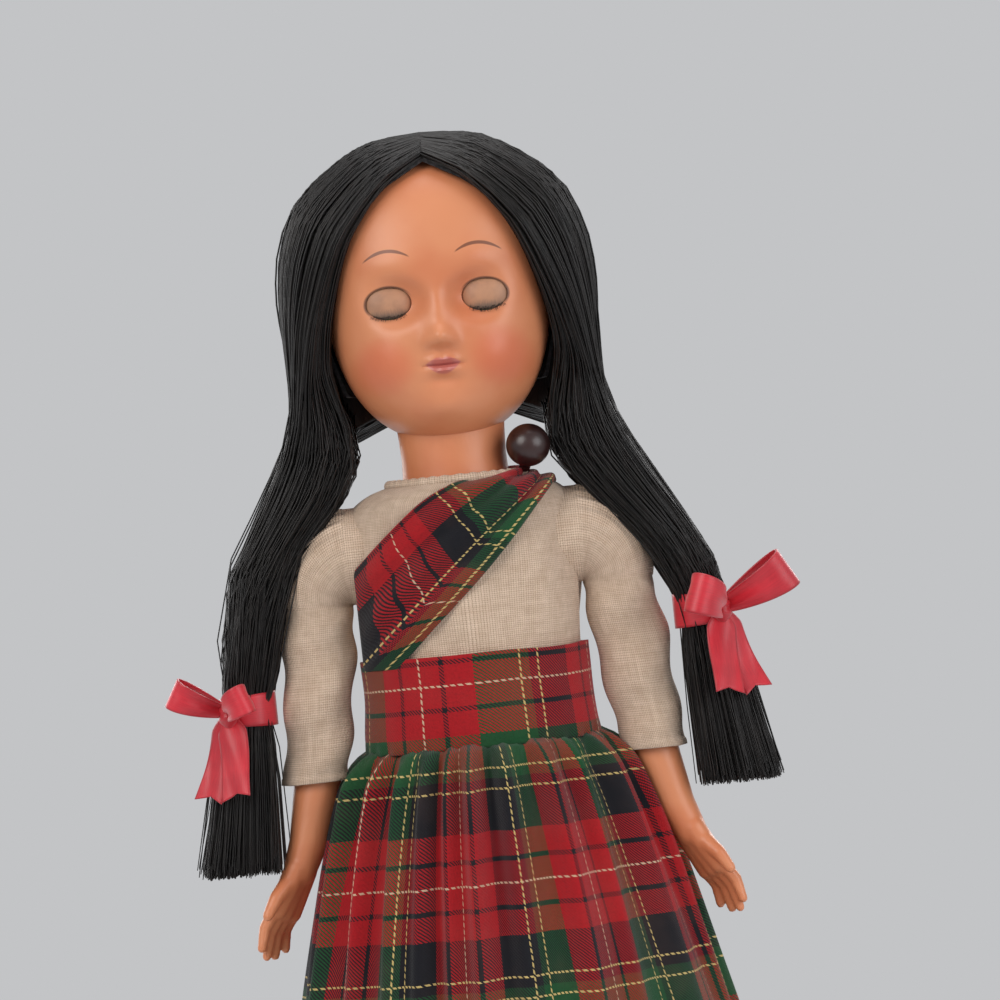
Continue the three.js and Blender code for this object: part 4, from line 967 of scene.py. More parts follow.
def makeBlouse():
    def body(u, v):
        turn = (u - 0.5) * math.tau
        fold = 0.4 * math.sin(7 * turn + 6 * v + 1.2 * math.sin(3 * turn)) * smooth(0.8, 0.5, v) * smooth(0.0, 0.2, v)
        fold += 0.4 * roundRipple(turn, 2.1, v * 3.0, 3.0) * smooth(1.0, 0.8, v)
        return blousePoint(turn, v, fold)

    def binding(u, v):
        turn, around = (u - 0.5) * math.tau, v * math.tau
        puck = 1 + 0.1 * math.sin(turn * 38)
        roll = outward(turn) * (blousePlan["binding"] * math.cos(around) * puck)
        return blousePoint(turn, 1.0, -0.5) + roll + Vector((0, 0, 0.8 * math.sin(around) * puck + 0.2))

    def lap(u, v):
        grow = 0.25 + lapRise(u) + 0.12 * ripple(u, v * 5.0, 2.0)
        return blousePoint(lapTurn(u), 0.02 + 0.96 * v, grow)

    sew(
        "blouseBody", (220, 72), blousePlan["flat"], body, "torso", "blouse", ("blouse",), blousePlan["thick"],
        closed=True,
    )
    sew("neckBinding", (220, 14), (62.0, 5.0), binding, "torso", "blouse", closed=True)
    sew(
        "blouseLap", (24, 60), (4.2, 40.0), lap, "torso", "blouse", thick=lapPlan["thick"], middle=Vector((0, 0, 135))
    )


sleevePlan = {
    "flat": (40.0, 48.0), "thick": 0.45,
    "inside": 13.4,  # the armhole starts inside the blouse
    "armpit": (17.3, 135.9),
    "tall": (14.5, 10.6),  # the armhole, and the arm under it
    "deep": (7.1, 5.4),
    "parts": (0.08, 0.4),  # shares of its length that lie in the armhole, and over the shoulder
    "arm": [  # height, middle x and y, half-width and half-depth
        (135.9, 22.6, 0.0, 5.3, 5.4),
        (128.3, 23.3, -0.2, 5.5, 5.5),
        (118.2, 24.4, -0.6, 5.1, 5.2),
        (110.2, 25.5, -1.2, 4.85, 4.95),
    ],
}


def makeSleeve(name, side):
    plan = sleevePlan
    armpitX, armpitZ = plan["armpit"]
    tall, upper = plan["tall"]
    deep, upperDeep = plan["deep"]
    hole, shoulder = plan["parts"]

    def armhole(turn, share):
        x = plan["inside"] + (armpitX - plan["inside"]) * share
        return Vector((x, deep * math.sin(turn), armpitZ + tall / 2 + tall / 2 * math.cos(turn)))

    def overShoulder(turn, share, v):
        swing = share * math.pi / 2
        half = (tall + (upper - tall) * share) / 2
        lean = Vector((math.sin(swing), 0, math.cos(swing)))
        centre = Vector((armpitX, 0, armpitZ)) + lean * half
        reach = Vector((0, (deep + (upperDeep - deep) * share) * math.sin(turn), 0))
        spot = centre + lean * (half * math.cos(turn)) + reach
        ease = 0.28 * math.sin(turn * 22) * smooth(0.4, 0.1, v) * smooth(-0.4, 0.5, math.cos(turn))
        return spot + (spot - centre).normalized() * ease

    def downArm(turn, share):
        z, x, y, wide, deep = between(plan["arm"], share)
        crease = 0.42 * ripple(math.sin(turn) * 1.4, math.cos(turn) * 1.4, share * 4.2 + side * 7)
        slack = 0.3 * math.sin(share * 17 + 2.2 * math.sin(turn + side))
        crease += slack * smooth(0.0, 0.2, share) * smooth(1.0, 0.8, share)
        crease += 0.18 * smooth(0.93, 0.945, share)  # the hem
        return Vector((x + math.cos(turn) * (wide + crease), y + math.sin(turn) * (deep + crease), z))

    def place(u, v):
        turn = u * math.tau
        if v < hole:
            return armhole(turn, v / hole)
        if v < shoulder:
            return overShoulder(turn, (v - hole) / (shoulder - hole), v)
        return downArm(turn, (v - shoulder) / (1 - shoulder))

    sew(
        f"sleeveCotton_{name}", (110, 100), plan["flat"], place, f"arm_{name}", "blouse", (f"sleeve_{name}",),
        plan["thick"], closed=True, side=side,
    )


bandPlan = {"foot": 113.3, "top": 127.2, "off": 2.75, "flat": (107.0, 14.0), "thick": 0.6}


def makeWaistband():
    def place(u, v):
        turn = (u - 0.5) * math.tau
        z = bandPlan["foot"] + (bandPlan["top"] - bandPlan["foot"]) * v
        puff = 0.35 * math.sin(math.pi * v) + 0.22 * roundRipple(turn, 2.4, v * 2.0, 9.0)
        pucker = 0.16 * math.sin(turn * 30) * smooth(0.2, 0.0, v)
        return bodyPoint(turn, z + 0.35 * roundRipple(turn, 1.7, 2.0, 4.0) * v, bandPlan["off"] + puff + pucker)

    def lap(u, v):
        spot = place(0.5 + lapTurn(u) / math.tau, v)
        return spot + Vector((spot.x, spot.y, 0)).normalized() * (0.12 + lapRise(u))

    band = sew(
        "waistbandTartan", (240, 34), bandPlan["flat"], place, "torso", "band", ("waistband",), bandPlan["thick"],
        closed=True,
    )
    sew("bandLap", (24, 34), (4.6, 14.0), lap, "torso", "band", thick=lapPlan["thick"], middle=Vector((0, 0, 120)))


skirtPlan = {
    "top": 114.0, "foot": 38.3, "flat": (270.0, 76.0), "thick": 0.55, "folds": 26, "waves": 11, "gathers": 61,
    "halfWidth": (18.0, 39.2, 0.7),  # at the waist, at the hem, and how soon it widens
    "front": (14.6, 36.1, 0.65),  # room for a leg that swings forward
    "back": (13.9, 35.0, 0.7),
}


def foldDrift(turn, share):  # the folds are uneven, and lean a little as they fall
    uneven = 0.1 * math.sin(3 * turn + 1.1) + 0.035 * math.sin(7 * turn + 2.0)
    return turn + uneven + 0.08 * share * math.sin(2 * turn + 0.4)


def skirtPoint(u, v):  # v is 1 at the waist and 0 at the hem
    turn, share = (u - 0.5) * math.tau, 1 - v
    folds = skirtPlan["folds"]
    turn += (0.35 - 0.2 * share) * math.sin(folds * foldDrift(turn, share)) / folds
    z = skirtPlan["top"] + (skirtPlan["foot"] - skirtPlan["top"]) * share
    sizes = [w + (h - w) * share ** bell for w, h, bell in (skirtPlan[k] for k in ("halfWidth", "front", "back"))]
    spot = hoop(turn, z, *sizes, 2.05)
    drift = foldDrift(turn, share)
    fine = (1.55 * math.exp(-share / 0.5) + 0.6) * smooth(-0.02, 0.07, share) * (0.8 + 0.2 * math.sin(5 * turn + 0.7))
    out = fine * (math.cos(folds * drift) + 0.2 * math.cos(2 * folds * drift + 0.8))
    out += (0.4 + 1.15 * share) * math.cos(skirtPlan["waves"] * drift + 0.6)
    gather = math.cos(skirtPlan["gathers"] * turn + 2.5 * math.sin(5 * turn) + 1.3 * math.sin(11 * turn))
    out += 0.22 * gather * math.exp(-share / 0.12)
    out += 0.5 * roundRipple(turn, 3.0, share * 3.0, 1.0) * smooth(0.0, 0.3, share)
    out -= 0.7 * max(0.0, 0.02 - share) / 0.02  # the top edge goes in under the band
    spot.z += 0.5 * roundRipple(turn, 2.0, 0.0, 8.0) * smooth(0.8, 1.0, share)
    return spot + outward(turn) * out


def makeSkirt():
    skirt = sew(
        "skirtGathered", (442, 72), skirtPlan["flat"], skirtPoint, "torso", "skirt", ("skirt",), skirtPlan["thick"],
        closed=True,
    )


sashPlan = {
    "lean": 42.0, "middle": 146.0, "wide": 14.4, "off": 0.9, "flat": (91.0, 14.6), "thick": 0.5,
    "pleat": 4.9,  # mm from one pleat to the next
    "blouseTop": 152.7,
    "stop": (-16.4, 126.0),  # it ends under the arm, or under the waistband
}


def insideBlouse(spot, grow):
    over = max(0.0, spot.z - sashPlan["blouseTop"] + 0.8) / (grow + 0.8)
    if over >= 1 or spot.z < 118:
        return False
    halfWidth, front, back = blouseSize(spot.z)
    trim = math.sqrt(1 - over * over)
    wide, deep = (halfWidth + grow) * trim, ((front if spot.y < 0 else back) + grow) * trim
    return abs(spot.x / wide) ** torsoSquare + abs(spot.y / deep) ** torsoSquare < 1


def sashPoint(swing, w, grow):  # swing goes round the body, from the front over the shoulder to the back
    lean = math.radians(sashPlan["lean"])
    along = Vector((math.cos(lean), 0, math.sin(lean)))
    across = Vector((-math.sin(lean), 0, math.cos(lean)))
    start = Vector((0, 0, sashPlan["middle"])) + across * w - along * 3.0
    way = along * math.cos(swing) + Vector((0, -1, 0)) * math.sin(swing)
    return start + way * lastTrue(lambda reach: insideBlouse(start + way * reach, grow), 0.0, 40.0, 24)


def sashEnd(sign, w):
    stopX, stopZ = sashPlan["stop"]

    def clear(swing):
        spot = sashPoint(sign * swing, w, sashPlan["off"])
        return spot.z > stopZ and spot.x > stopX

    return sign * lastTrue(clear, math.radians(60), math.radians(178), 20)


def makeSash():
    ends = {}

    def place(u, v):
        w = (v - 0.5) * sashPlan["wide"]
        key = round(v * 1000)
        if key not in ends:
            ends[key] = (sashEnd(1, w), sashEnd(-1, w))
        first, last = ends[key]
        swing = first + (last - first) * u
        pinch = math.exp(-((swing - 0.2) / 0.75) ** 2)  # gathered on the shoulder under the button
        pleat = (0.42 + 0.4 * pinch) * math.cos(w * math.tau / sashPlan["pleat"] + 0.6 + 0.9 * math.sin(swing * 1.7))
        pleat += 0.35 * ripple(swing * 2.5, w * 0.3, 6.0)
        pleat *= smooth(0.0, 0.06, u) * smooth(1.0, 0.94, u)
        return sashPoint(swing, w * (1 - 0.6 * pinch) - 2.6 * pinch, sashPlan["off"] + 0.5 * pinch + pleat)

    sash = sew(
        "plaidSash", (170, 44), sashPlan["flat"], place, "torso", "sash", ("plaid_sash",), sashPlan["thick"], 0.0,
        middle=Vector((0, 0, 138)),
    )


knickersPlan = {
    "foot": 92.4, "top": 114.0, "off": 1.15, "flat": (100.0, 24.0), "thick": 0.45,
    "hip": (21.2, 101.0), "hole": 9.7, "long": 30.0,  # the leg holes
}


def makeKnickers():
    plan = knickersPlan

    def place(u, v):
        turn = (u - 0.5) * math.tau
        gather = 0.18 * math.sin(turn * 16) * smooth(0.75, 1.0, v)
        return bodyPoint(turn, plan["foot"] + (plan["top"] - plan["foot"]) * v, plan["off"] + gather)

    middle = Vector((0, 0, 105))
    bm = clothGrid(120, 44, plan["flat"], place, closed=True, middle=middle)
    closeUp(bm, below=100)
    knickers = bake(thicken(rough("knickersCotton", faceOut(bm, middle)), plan["thick"], unit=1.0))
    hipX, hipZ = plan["hip"]
    hole, long = plan["hole"], plan["long"]
    for side in (-1, 1):
        tool = bmesh.new()
        disc = Matrix.Translation((side * hipX, 0, hipZ)) @ Matrix.Rotation(math.radians(90), 4, "Y")
        bmesh.ops.create_cone(tool, cap_ends=True, segments=64, radius1=hole, radius2=hole, depth=long, matrix=disc)
        carve(knickers, rough("legHole", tool))
        tool = bmesh.new()
        room = Matrix.Translation((side * hipX, 0, hipZ - long / 2)) @ Matrix.Diagonal((long, 60, long, 1))
        bmesh.ops.create_cube(tool, size=1.0, matrix=room)
        carve(knickers, rough("legRoom", tool))
    settle(knickers, "torso", "white", ("knickers",))


makeBlouse()
for name, side in sides.items():
    makeSleeve(name, side)
makeWaistband()
makeSkirt()
makeSash()
makeKnickers()
print("clothes")


# Arms with hands, legs, socks and shoes

def moulded(base, deep, gloss, speckScale=700.0, wear=0.08):
    def build(f):
        where = f.place()
        speck = f.grain(where, speckScale)
        colour = (f.grain(where, 110.0) * 0.7 + speck * 0.3).rise(0.3, 0.72).mix(base, deep)
        return colour, gloss + wear * speck, f.relief(speck, 0.1, 0.0002)

    return build


shoeVinyl = moulded(tint(20, 19, 20), tint(34, 32, 33), 0.2)
paint("shoe", "shoeVinyl", shoeVinyl, {"Coat Weight": 0.3, "Coat Roughness": 0.15})
paint("sole", "soleVinyl", moulded(tint(66, 50, 40), tint(48, 36, 30), 0.5))
buttonBrown = moulded(tint(50, 25, 22), tint(28, 13, 13), 0.3, 300.0, 0.05)
paint("button", "buttonBrown", buttonBrown, {"Coat Weight": 0.15, "Coat Roughness": 0.3})


def addLink(bm, a, b, ra, rb):  # a tapered round link with a ball at each end
    a, b = Vector(a), Vector(b)
    way = b - a
    place = Matrix.Translation((a + b) / 2) @ way.to_track_quat("Z", "Y").to_matrix().to_4x4()
    bmesh.ops.create_cone(bm, cap_ends=True, segments=24, radius1=ra, radius2=rb, depth=way.length, matrix=place)
    for spot, radius in ((a, ra), (b, rb)):
        bmesh.ops.create_icosphere(bm, subdivisions=3, radius=radius, matrix=Matrix.Translation(spot))


def addBall(bm, spot, sizes, segments, rings):
    place = Matrix.Translation(spot) @ Matrix.Diagonal((*sizes, 1))
    bmesh.ops.create_uvsphere(bm, u_segments=segments, v_segments=rings, radius=1.0, matrix=place)


def melt(name, bm, voxel, passes):  # joins overlapping links into one smooth skin
    piece = rough(name, bm)
    skin = piece.modifiers.new("join", "REMESH")
    skin.mode = "VOXEL"
    skin.voxel_size = voxel
    bake(piece)
    ease = piece.modifiers.new("ease", "SMOOTH")
    ease.factor = 0.5
    ease.iterations = passes
    return bake(piece)


armPlan = {
    "bones": [  # x, y, height and radius, from the shoulder to the wrist
        (20.3, 0, 143.2, 4.5), (21.9, 0, 137.4, 4.2), (23.1, -0.2, 128.3, 4.0), (24.1, -0.4, 118.2, 3.8),
        (25.4, -1.2, 109.9, 3.55), (27.5, -2.4, 101.6, 2.95), (29.3, -3.0, 97.4, 2.5),
    ],
    "wrist": (29.4, -3.0, 97.0), "tilt": -27.0, "turn": 35.0,
    "palm": 6.3, "fingers": (6.0, 7.0, 6.6, 5.2),
    "thumb": [(-0.1, -1.9, -1.8, 1.35), (-0.5, -3.9, -4.4, 1.1), (-0.8, -4.7, -7.3, 0.82)],
    "voxel": 0.3,
}
legPlan = {
    "bones": [  # x, y, height and radius, from the hip to the ankle
        (9.8, 0, 104.0, 7.7), (9.8, 0, 91.1, 7.95), (9.8, 0.2, 73.3, 7.1), (9.6, 0, 53.6, 5.65),
        (9.4, 0.9, 37.8, 5.55), (9.2, 0.6, 18.0, 4.15), (9.2, 0.4, 10.0, 4.2),
    ],
    "foot": [
        ((9.2, 1.5, 7.2), (9.2, -6.5, 5.4), 4.2, 3.0),
        ((9.2, -6.5, 5.3), (9.2, -10.5, 4.9), 3.0, 2.1),
        ((9.2, 2.2, 6.2), (9.2, 3.4, 6.0), 3.8, 3.2),
    ],
    "flatAt": 6.35,  # where the hip is cut flat against the body
    "voxel": 0.45,
}


def makeArm(name, side):
    bm = bmesh.new()
    for a, b in zip(armPlan["bones"], armPlan["bones"][1:]):
        addLink(bm, a[:3], b[:3], a[3], b[3])
    addBall(bm, (18.4, 0, 143), (2.5, 5.8, 5.8), 40, 24)
    addLink(bm, (18.0, 0, 143), (20.4, 0, 142.4), 5.3, 4.4)
    hand = Matrix.Translation(armPlan["wrist"]) @ Matrix.Rotation(math.radians(armPlan["tilt"]), 4, "Y")
    hand = hand @ Matrix.Rotation(math.radians(armPlan["turn"]), 4, "Z")

    def link(a, b, ra, rb):
        addLink(bm, hand @ Vector(a), hand @ Vector(b), ra, rb)

    for y in (-1.5, 0, 1.5):
        link((0, y * 0.7, 0.5), (0, y * 1.25, -6.2), 1.9, 1.45)
    for i, long in enumerate(armPlan["fingers"]):
        y = -2.4 + i * 1.6
        bend = 0.25 + 0.12 * i
        joint = (0.35 + 0.3 * bend, y * 1.08, -armPlan["palm"] - long * 0.5)
        link((0.05, y, -armPlan["palm"]), joint, 1.02, 0.9)
        link(joint, (-0.25 - 0.8 * bend, y * 1.1, -armPlan["palm"] - long), 0.9, 0.7)
    for a, b in zip(armPlan["thumb"], armPlan["thumb"][1:]):
        link(a[:3], b[:3], a[3], b[3])
    turnSide(bm, side)
    settle(melt(f"armSkin_{name}", bm, armPlan["voxel"], 5), f"arm_{name}", "skin", (f"arm_{name}",))


def makeLeg(name, side):
    bm = bmesh.new()
    steps = 24
    bones = [between(legPlan["bones"], k / steps) for k in range(steps + 1)]
    for a, b in zip(bones, bones[1:]):
        addLink(bm, a[:3], b[:3], a[3], b[3])
    addBall(bm, (11.6, 0, 101), (5.2, 9.1, 9.1), 48, 28)
    for link in legPlan["foot"]:
        addLink(bm, *link)
    cutAway(bm, (legPlan["flatAt"], 0, 0), (-1, 0, 0))
    turnSide(bm, side)
    settle(melt(f"legSkin_{name}", bm, legPlan["voxel"], 6), f"leg_{name}", "skin", (f"leg_{name}",))


sockPlan = {
    "x": 9.2, "ribs": 34, "thick": 0.4,
    "ankle": [  # height, middle y, half-width and half-depth
        (24.6, 0.7, 4.9, 5.1),
        (20.5, 0.7, 4.75, 4.95),
        (16.0, 0.6, 4.7, 5.0),
        (12.5, 0.1, 5.0, 5.6),
        (10.2, -1.1, 5.1, 6.9),
        (8.6, -2.1, 5.1, 7.9),
        (6.8, -2.5, 4.9, 8.2),
    ],
    "cuff": (5.15, 0.5, 21.6, 2.9),  # its radius, half its thickness, its middle height and half its height
}


def makeSock(name, side):
    def leg(u, v):
        turn = u * math.tau
        z, y, wide, deep = between(sockPlan["ankle"], v)
        rib = 0.11 * math.cos(turn * sockPlan["ribs"]) * smooth(0.75, 0.5, v)
        slack = rib + 0.22 * ripple(math.sin(turn) * 2, math.cos(turn) * 2, v * 5 + side)
        return Vector((sockPlan["x"] + math.sin(turn) * (wide + slack), y + math.cos(turn) * (deep + slack), z))

    def cuff(u, v):
        turn, around = u * math.tau, v * math.tau
        radius, half, middle, tall = sockPlan["cuff"]
        rib = 1 + 0.022 * math.cos(turn * sockPlan["ribs"])
        slack = 0.12 * ripple(math.sin(turn) * 1.5, math.cos(turn) * 1.5, side * 4.5)
        wide = radius + half * math.cos(around) + slack
        x, y = math.sin(turn) * wide * rib, math.cos(turn) * (wide + 0.2) * rib
        return Vector((sockPlan["x"] + x, 0.7 + y, middle + tall * math.sin(around)))

    body = f"leg_{name}"
    sew(
        f"sockKnit_{name}", (204, 40), (33.0, 18.0), leg, body, "sock", (f"sock_{name}",), sockPlan["thick"],
        closed=True, side=side,
    )
    sew(f"sockCuff_{name}", (204, 24), (34.0, 12.0), cuff, body, "sock", closed=True, side=side)


shoePlan = {
    "x": 9.2, "y": -4.9, "half": 6.75, "long": 14.0, "sole": 2.2, "thick": 0.7,
    "opening": (3.75, 7.4, 1.6),  # half-width, half-length, and how far it lies behind the middle
    "piping": 0.42,
    "strap": (5.9, 2.6),  # its reach to each side, and its width
    "arch": 3.0,
}


def shoeOutline(turn, grow):  # turn 0 is the toe
    toe = math.cos(turn)
    wide = (shoePlan["half"] + grow) * (1 - 0.14 * smooth(0.1, -1.0, toe)) * (1 + 0.04 * smooth(0.2, 0.8, toe))
    return bulge(math.sin(turn), 2.5) * wide, shoePlan["y"] - bulge(toe, 2.35) * (shoePlan["long"] + grow)


def makeShoe(name, side):
    body = f"leg_{name}"
    reach, strapWide = shoePlan["strap"]

    def upper(u, v):
        turn = u * math.tau
        x, y = shoeOutline(turn, -0.35)
        openWide, openLong, openBack = shoePlan["opening"]
        openX = openWide * math.sin(turn)
        openY = shoePlan["y"] + openBack - openLong * math.cos(turn)
        rise = 6.0 + 2.6 * smooth(0.3, -0.9, math.cos(turn)) - 0.9 * smooth(0.2, 1.0, math.cos(turn))
        lift = v * math.pi / 2
        inward = 1 - math.cos(lift) ** 0.75
        z = shoePlan["sole"] + 0.15 + rise * math.sin(lift) ** 0.85
        return Vector((shoePlan["x"] + x + (openX - x) * inward, y + (openY - y) * inward, z))

    def piping(u, v):
        roll = outward(u * math.tau) * math.cos(v * math.tau) + Vector((0, 0, math.sin(v * math.tau)))
        return upper(u, 1.0) + roll * shoePlan["piping"]

    def strap(u, v):
        swing = (u - 0.5) * math.radians(172)
        over = math.cos(swing)
        along = Vector((0, 1, 0.85 * over)).normalized() * strapWide * (v - 0.5)  # it lies on the slope of the instep
        x = shoePlan["x"] + reach * math.sin(swing)
        return Vector((x, -1.6 - 6.0 * over ** 1.2, 7.7 + 4.0 * over)) + along

    thick = shoePlan["thick"]
    sew(
        f"shoeUpper_{name}", (120, 40), (70.0, 14.0), upper, body, "shoe", (f"shoe_{name}",), thick, closed=True,
        side=side,
    )
    sew(f"shoePiping_{name}", (120, 12), (50.0, 3.0), piping, body, "shoe", closed=True, side=side)
    middle = Vector((side * shoePlan["x"], -1, 5))
    sew(
        f"shoeStrap_{name}", (60, 8), (18.0, strapWide), strap, body, "shoe", thick=thick, middle=middle, side=side
    )
    bm = bmesh.new()
    addBall(bm, (side * (shoePlan["x"] + reach), -1.5, 8.2), (0.55, 1.05, 1.05), 24, 14)
    settle(rough(f"shoeStud_{name}", bm), body, "button")


def makeSole(name, side):
    bm = bmesh.new()
    bmesh.ops.create_circle(bm, cap_ends=True, segments=96, radius=1.0)
    for vert in bm.verts:
        x, y = shoeOutline(math.atan2(vert.co.x, -vert.co.y), 0.25)
        vert.co = Vector((side * (shoePlan["x"] + x), y, 0.0))
    grown = bmesh.ops.extrude_face_region(bm, geom=bm.faces[:])["geom"]
    raised = [part for part in grown if isinstance(part, bmesh.types.BMVert)]
    bmesh.ops.translate(bm, verts=raised, vec=(0, 0, shoePlan["sole"]))
    sole = rough(f"shoeSole_{name}", faceOut(bm))
    tool = bmesh.new()
    arch = shoePlan["arch"]
    across = Matrix.Translation((side * shoePlan["x"], -1.2, -2.3)) @ Matrix.Rotation(math.radians(90), 4, "Y")
    bmesh.ops.create_cone(tool, cap_ends=True, segments=48, radius1=arch, radius2=arch, depth=40, matrix=across)
    carve(sole, rough("archCut", tool))
    bm = bmesh.new()
    bm.from_mesh(sole.data)
    softenEdges(bm, 0.7, 0.28)
    bm.to_mesh(sole.data)
    bm.free()
    settle(sole, f"leg_{name}", "sole", (f"sole_{name}",), sharp=40)


for name, side in sides.items():
    makeArm(name, side)
    makeLeg(name, side)
    makeSock(name, side)
    makeShoe(name, side)
    makeSole(name, side)
print("limbs")


# Ribbons and fastenings

bowPlan = {
    "wide": 4.6, "loop": 10.5, "puff": 2.6, "end": 13.0, "thick": 0.22, "left": 1.12, "right": 0.85,
    "colour": (tint(176, 18, 36), tint(214, 36, 52)),
    "edge": tint(150, 14, 28),
    "tail": (34.4, -1.8),  # the middle of the hair at the tie
    "wrap": (4.2, 4.75),
    "knot": Vector((2.9, -5.0, 0.0)),  # from the middle of the hair
    "loops": {"outer": (Vector((0.84, -0.3, 0.42)), 0.35), "inner": (Vector((-0.3, -0.9, 0.22)), -0.3)},
    "ends": {"outer": (Vector((0.34, -0.14, -1.0)), -0.5), "inner": (Vector((-0.06, -0.3, -1.0)), 0.6)},
}


def satin(f):
    where = f.cloth()
    streak = f.streaks(where, (260.0, 7000.0, 1.0), 3.0)
    colour = (0.6 * f.grain(f.place(), 160.0) + 0.4 * streak).rise(0.3, 0.75).mix(*bowPlan["colour"])
    edge = abs(where.part(1) * 1000.0 - bowPlan["wide"] / 2).rise(1.85, 2.15)
    return (edge * 0.4).mix(colour, bowPlan["edge"]), 0.32 + 0.22 * streak, f.relief(streak, 0.25, 0.0001)


def brushedSteel(f):
    streak = f.streaks(f.place(), (300.0, 300.0, 4200.0), 3.0)
    colour = streak.mix(tint(150, 150, 148), tint(196, 196, 194))
    return colour, 0.24 + 0.2 * streak, f.relief(streak, 0.1, 0.0001)


paint("satin", "ribbonSatin", satin, {"Sheen Weight": 0.2, "Specular IOR Level": 0.55})
paint("steel", "wireSteel", brushedSteel, {"Metallic": 1.0})


def makeBow(name, side):
    middle = Vector((*bowPlan["tail"], hairPlan[name]["tie"]))
    knot = middle + bowPlan["knot"]
    size, wide, thick = bowPlan[name], bowPlan["wide"], bowPlan["thick"]

    def ribbon(label, grid, long, place, *made, closed=False):
        sew(f"{label}_{name}", grid, (long, wide), place, "torso", "satin", *made, closed=closed, side=side)

    def wrap(u, v):
        turn = u * math.tau
        across = (v - 0.5) * wide * (1 - 0.12 * math.cos(turn))
        pinch = 0.16 * (0.25 * math.cos(turn * 5) + 0.2 * math.sin(turn * 9 + 1))
        reachX, reachY = (reach + pinch for reach in bowPlan["wrap"])
        return middle + Vector((math.cos(turn) * reachX, math.sin(turn) * reachY, across))

    ribbon("ribbonWrap", (72, 10), 30.0, wrap, (f"ribbon_{name}",), thick * 2, closed=True)
    for label, (way, tilt) in bowPlan["loops"].items():
        way = way.normalized()
        tall = way.cross(Vector((0, 0, 1)).cross(way).normalized())
        tall = (Matrix.Rotation(tilt, 3, way) @ tall).normalized()
        flat = tall.cross(way).normalized()

        def loop(u, v):
            turn = (u - 0.5) * math.tau
            far = (1 + math.cos(turn)) / 2
            reach = size * bowPlan["loop"] * far ** 0.8 + 0.2
            gape = size * bowPlan["puff"] * math.sin(turn) * far ** 0.35
            droop = 0.35 * math.sin((v - 0.5) * math.pi * 3) * (1 - far)
            width = size * (v - 0.5) * wide * (0.42 + 0.75 * far ** 0.6)
            return knot + way * reach + flat * (gape + droop) + tall * width

        ribbon(f"bowLoop_{label}", (72, 16), 30.0, loop, (), thick, 0.0, closed=True)
    for label, (way, bend) in bowPlan["ends"].items():
        way = way.normalized()
        across = Vector((0.9, 0.35, 0)).cross(way).cross(way).normalized() * -1
        out = across.cross(way).normalized()

        def hang(u, v):
            width = (v - 0.5) * wide * (0.4 + 0.6 * smooth(0.0, 0.25, u))
            long = bowPlan["end"] * u + (1.8 * abs(v - 0.5) - 0.45) * smooth(0.8, 1.0, u)  # cut to a swallowtail
            curl = 0.9 * math.sin(u * 3.6 + bend) - 0.9 * math.sin(bend) + 0.3 * math.sin(v * 6 + u * 4)
            return knot + way * long + across * width + out * curl

        ribbon(f"bowEnd_{label}", (48, 14), bowPlan["end"], hang, (), thick, 0.0)
    bm = bmesh.new()
    bmesh.ops.create_uvsphere(bm, u_segments=32, v_segments=22, radius=1.0)
    layer = bm.loops.layers.uv.new("cloth")
    for vert in bm.verts:
        fold = 1 + 0.08 * math.sin(vert.co.z * 9 + vert.co.y * 2)
        spot = knot + Vector((vert.co.x * 1.5 * fold, vert.co.y * 1.9 * fold, vert.co.z * 2.3))
        vert.co = Vector((side * spot.x, spot.y, spot.z))
    for face in bm.faces:
        for corner in face.loops:
            corner[layer].uv = (corner.vert.co.y * mm, (corner.vert.co.z - knot.z) * mm)
    settle(rough(f"bowKnot_{name}", faceOut(bm)), "torso", "satin")


buttonPlan = {"x": 11.2, "y": -6.4, "radius": 3.3, "flat": 0.97, "foot": (10.4, -5.0, -6.4)}


def makeButton():
    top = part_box("plaid_button")[1][2] / mm
    radius = buttonPlan["radius"]
    centre = (buttonPlan["x"], buttonPlan["y"], top - radius)
    bm = bmesh.new()
    addBall(bm, centre, (radius, radius, radius * buttonPlan["flat"]), 64, 40)
    footX, footY, drop = buttonPlan["foot"]
    addLink(bm, centre, (footX, footY, top + drop), 0.95, 0.85)
    settle(melt("ballButton", bm, 0.16, 3), "torso", "button", ("plaid_button",))


studPlan = {
    "thick": 0.8, "out": 0.45, "taper": 0.96,
    "steps": ((0.2, 0.0), (0.1, -0.28), (0.3, 0.0), (0.12, 0.3)),  # inward as a share of the radius, and up in mm
}


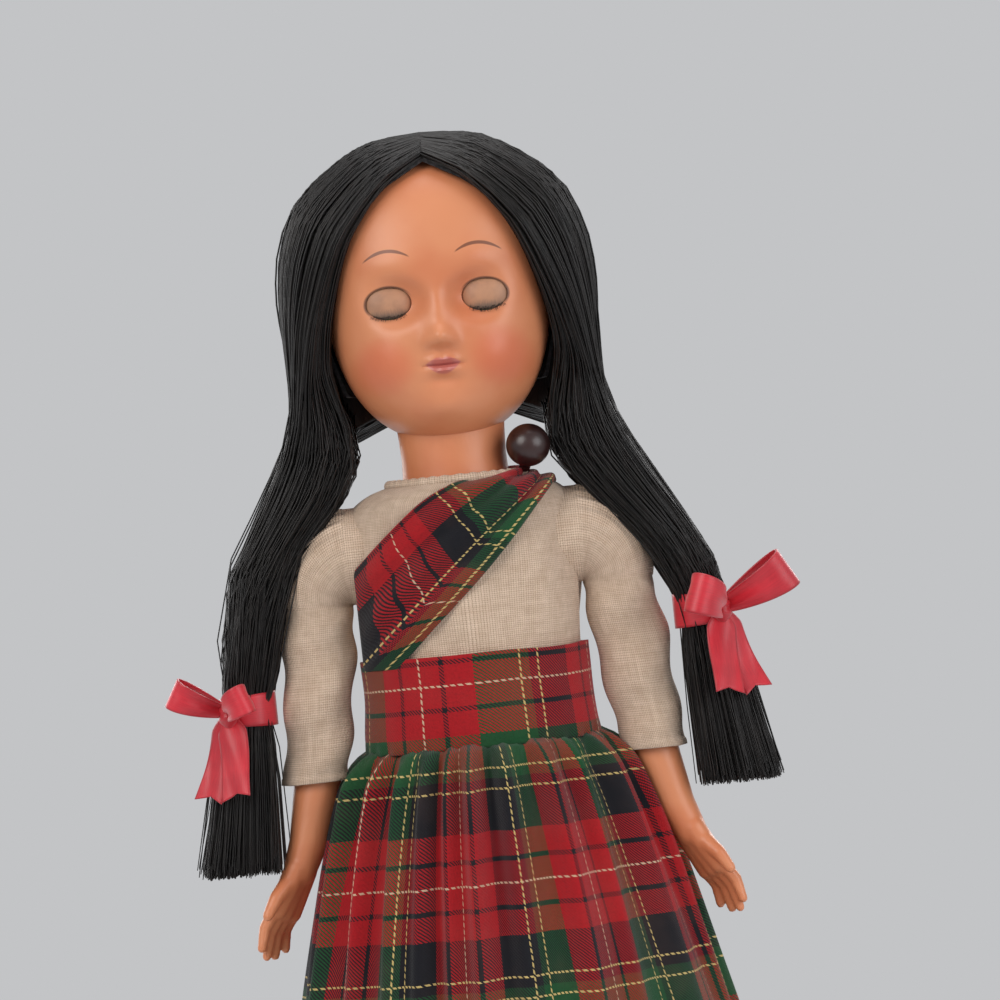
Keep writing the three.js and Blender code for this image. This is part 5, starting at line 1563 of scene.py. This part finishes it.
def makeStud(node):
    low, high = [Vector(corner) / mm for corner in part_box(node)]
    radius = (high.x - low.x) / 2
    narrow = radius * studPlan["taper"]
    bm = bmesh.new()
    bmesh.ops.create_cone(bm, cap_ends=True, segments=48, radius1=radius, radius2=narrow, depth=studPlan["thick"])
    top = [face for face in bm.faces if face.normal.z > 0.9]
    for inward, up in studPlan["steps"]:
        bmesh.ops.inset_region(bm, faces=top, thickness=radius * inward, depth=up)
    softenEdges(bm, 0.5, 0.08)
    bmesh.ops.rotate(bm, verts=bm.verts, cent=(0, 0, 0), matrix=Matrix.Rotation(math.radians(-90), 3, "X"))
    bmesh.ops.translate(bm, verts=bm.verts, vec=(low + high) / 2 + Vector((0, studPlan["out"], 0)))
    settle(rough(f"pressStud_{node.split('_')[0]}", faceOut(bm)), "torso", "steel", (node,), sharp=35)


for name, side in sides.items():
    makeBow(name, side)
makeButton()
makeStud("blouse_stud")
makeStud("waistband_stud")
print("ribbons, button and studs")


# The carried-over parts inside the doll

def netCap(f):
    where = f.place()
    knot = abs((where.part(0) * (math.pi / 0.0011)).wave()).most(abs((where.part(2) * (math.pi / 0.0011)).wave()))
    colour = knot.rise(0.8, 0.98).mix(tint(20, 19, 20), tint(44, 41, 43))
    return colour, 0.8 + 0.1 * knot, f.relief(knot, 0.4, 0.0002)


paint("rubber", "stringRubber", moulded(tint(150, 132, 102), tint(122, 104, 78), 0.7, 1800.0))
paint("lead", "weightGrey", moulded(tint(120, 122, 124), tint(88, 90, 94), 0.45, 1200.0, 0.2), {"Metallic": 1.0})
paint("bracket", "bracketPlastic", moulded(tint(206, 190, 164), tint(190, 172, 146), 0.5))
paint("net", "wigNet", netCap)
keptFinishes = {
    "skin": ("torso_front", "torso_back"),
    "rubber": ("arm_elastic", "leg_elastic"),
    "steel": (
        "shoulder_hook_left", "shoulder_hook_right", "hip_hook_left", "hip_hook_right",
        "neck_hook", "neck_washer", "eye_rocker",
    ),
    "lead": ("eye_weight",),
    "bracket": ("eye_bracket",),
    "net": ("wig_cap",),
}
for finish, nodes in keptFinishes.items():
    for node in nodes:
        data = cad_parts[node].data
        data.materials.clear()
        data.materials.append(finishes[finish])
print("kept parts")
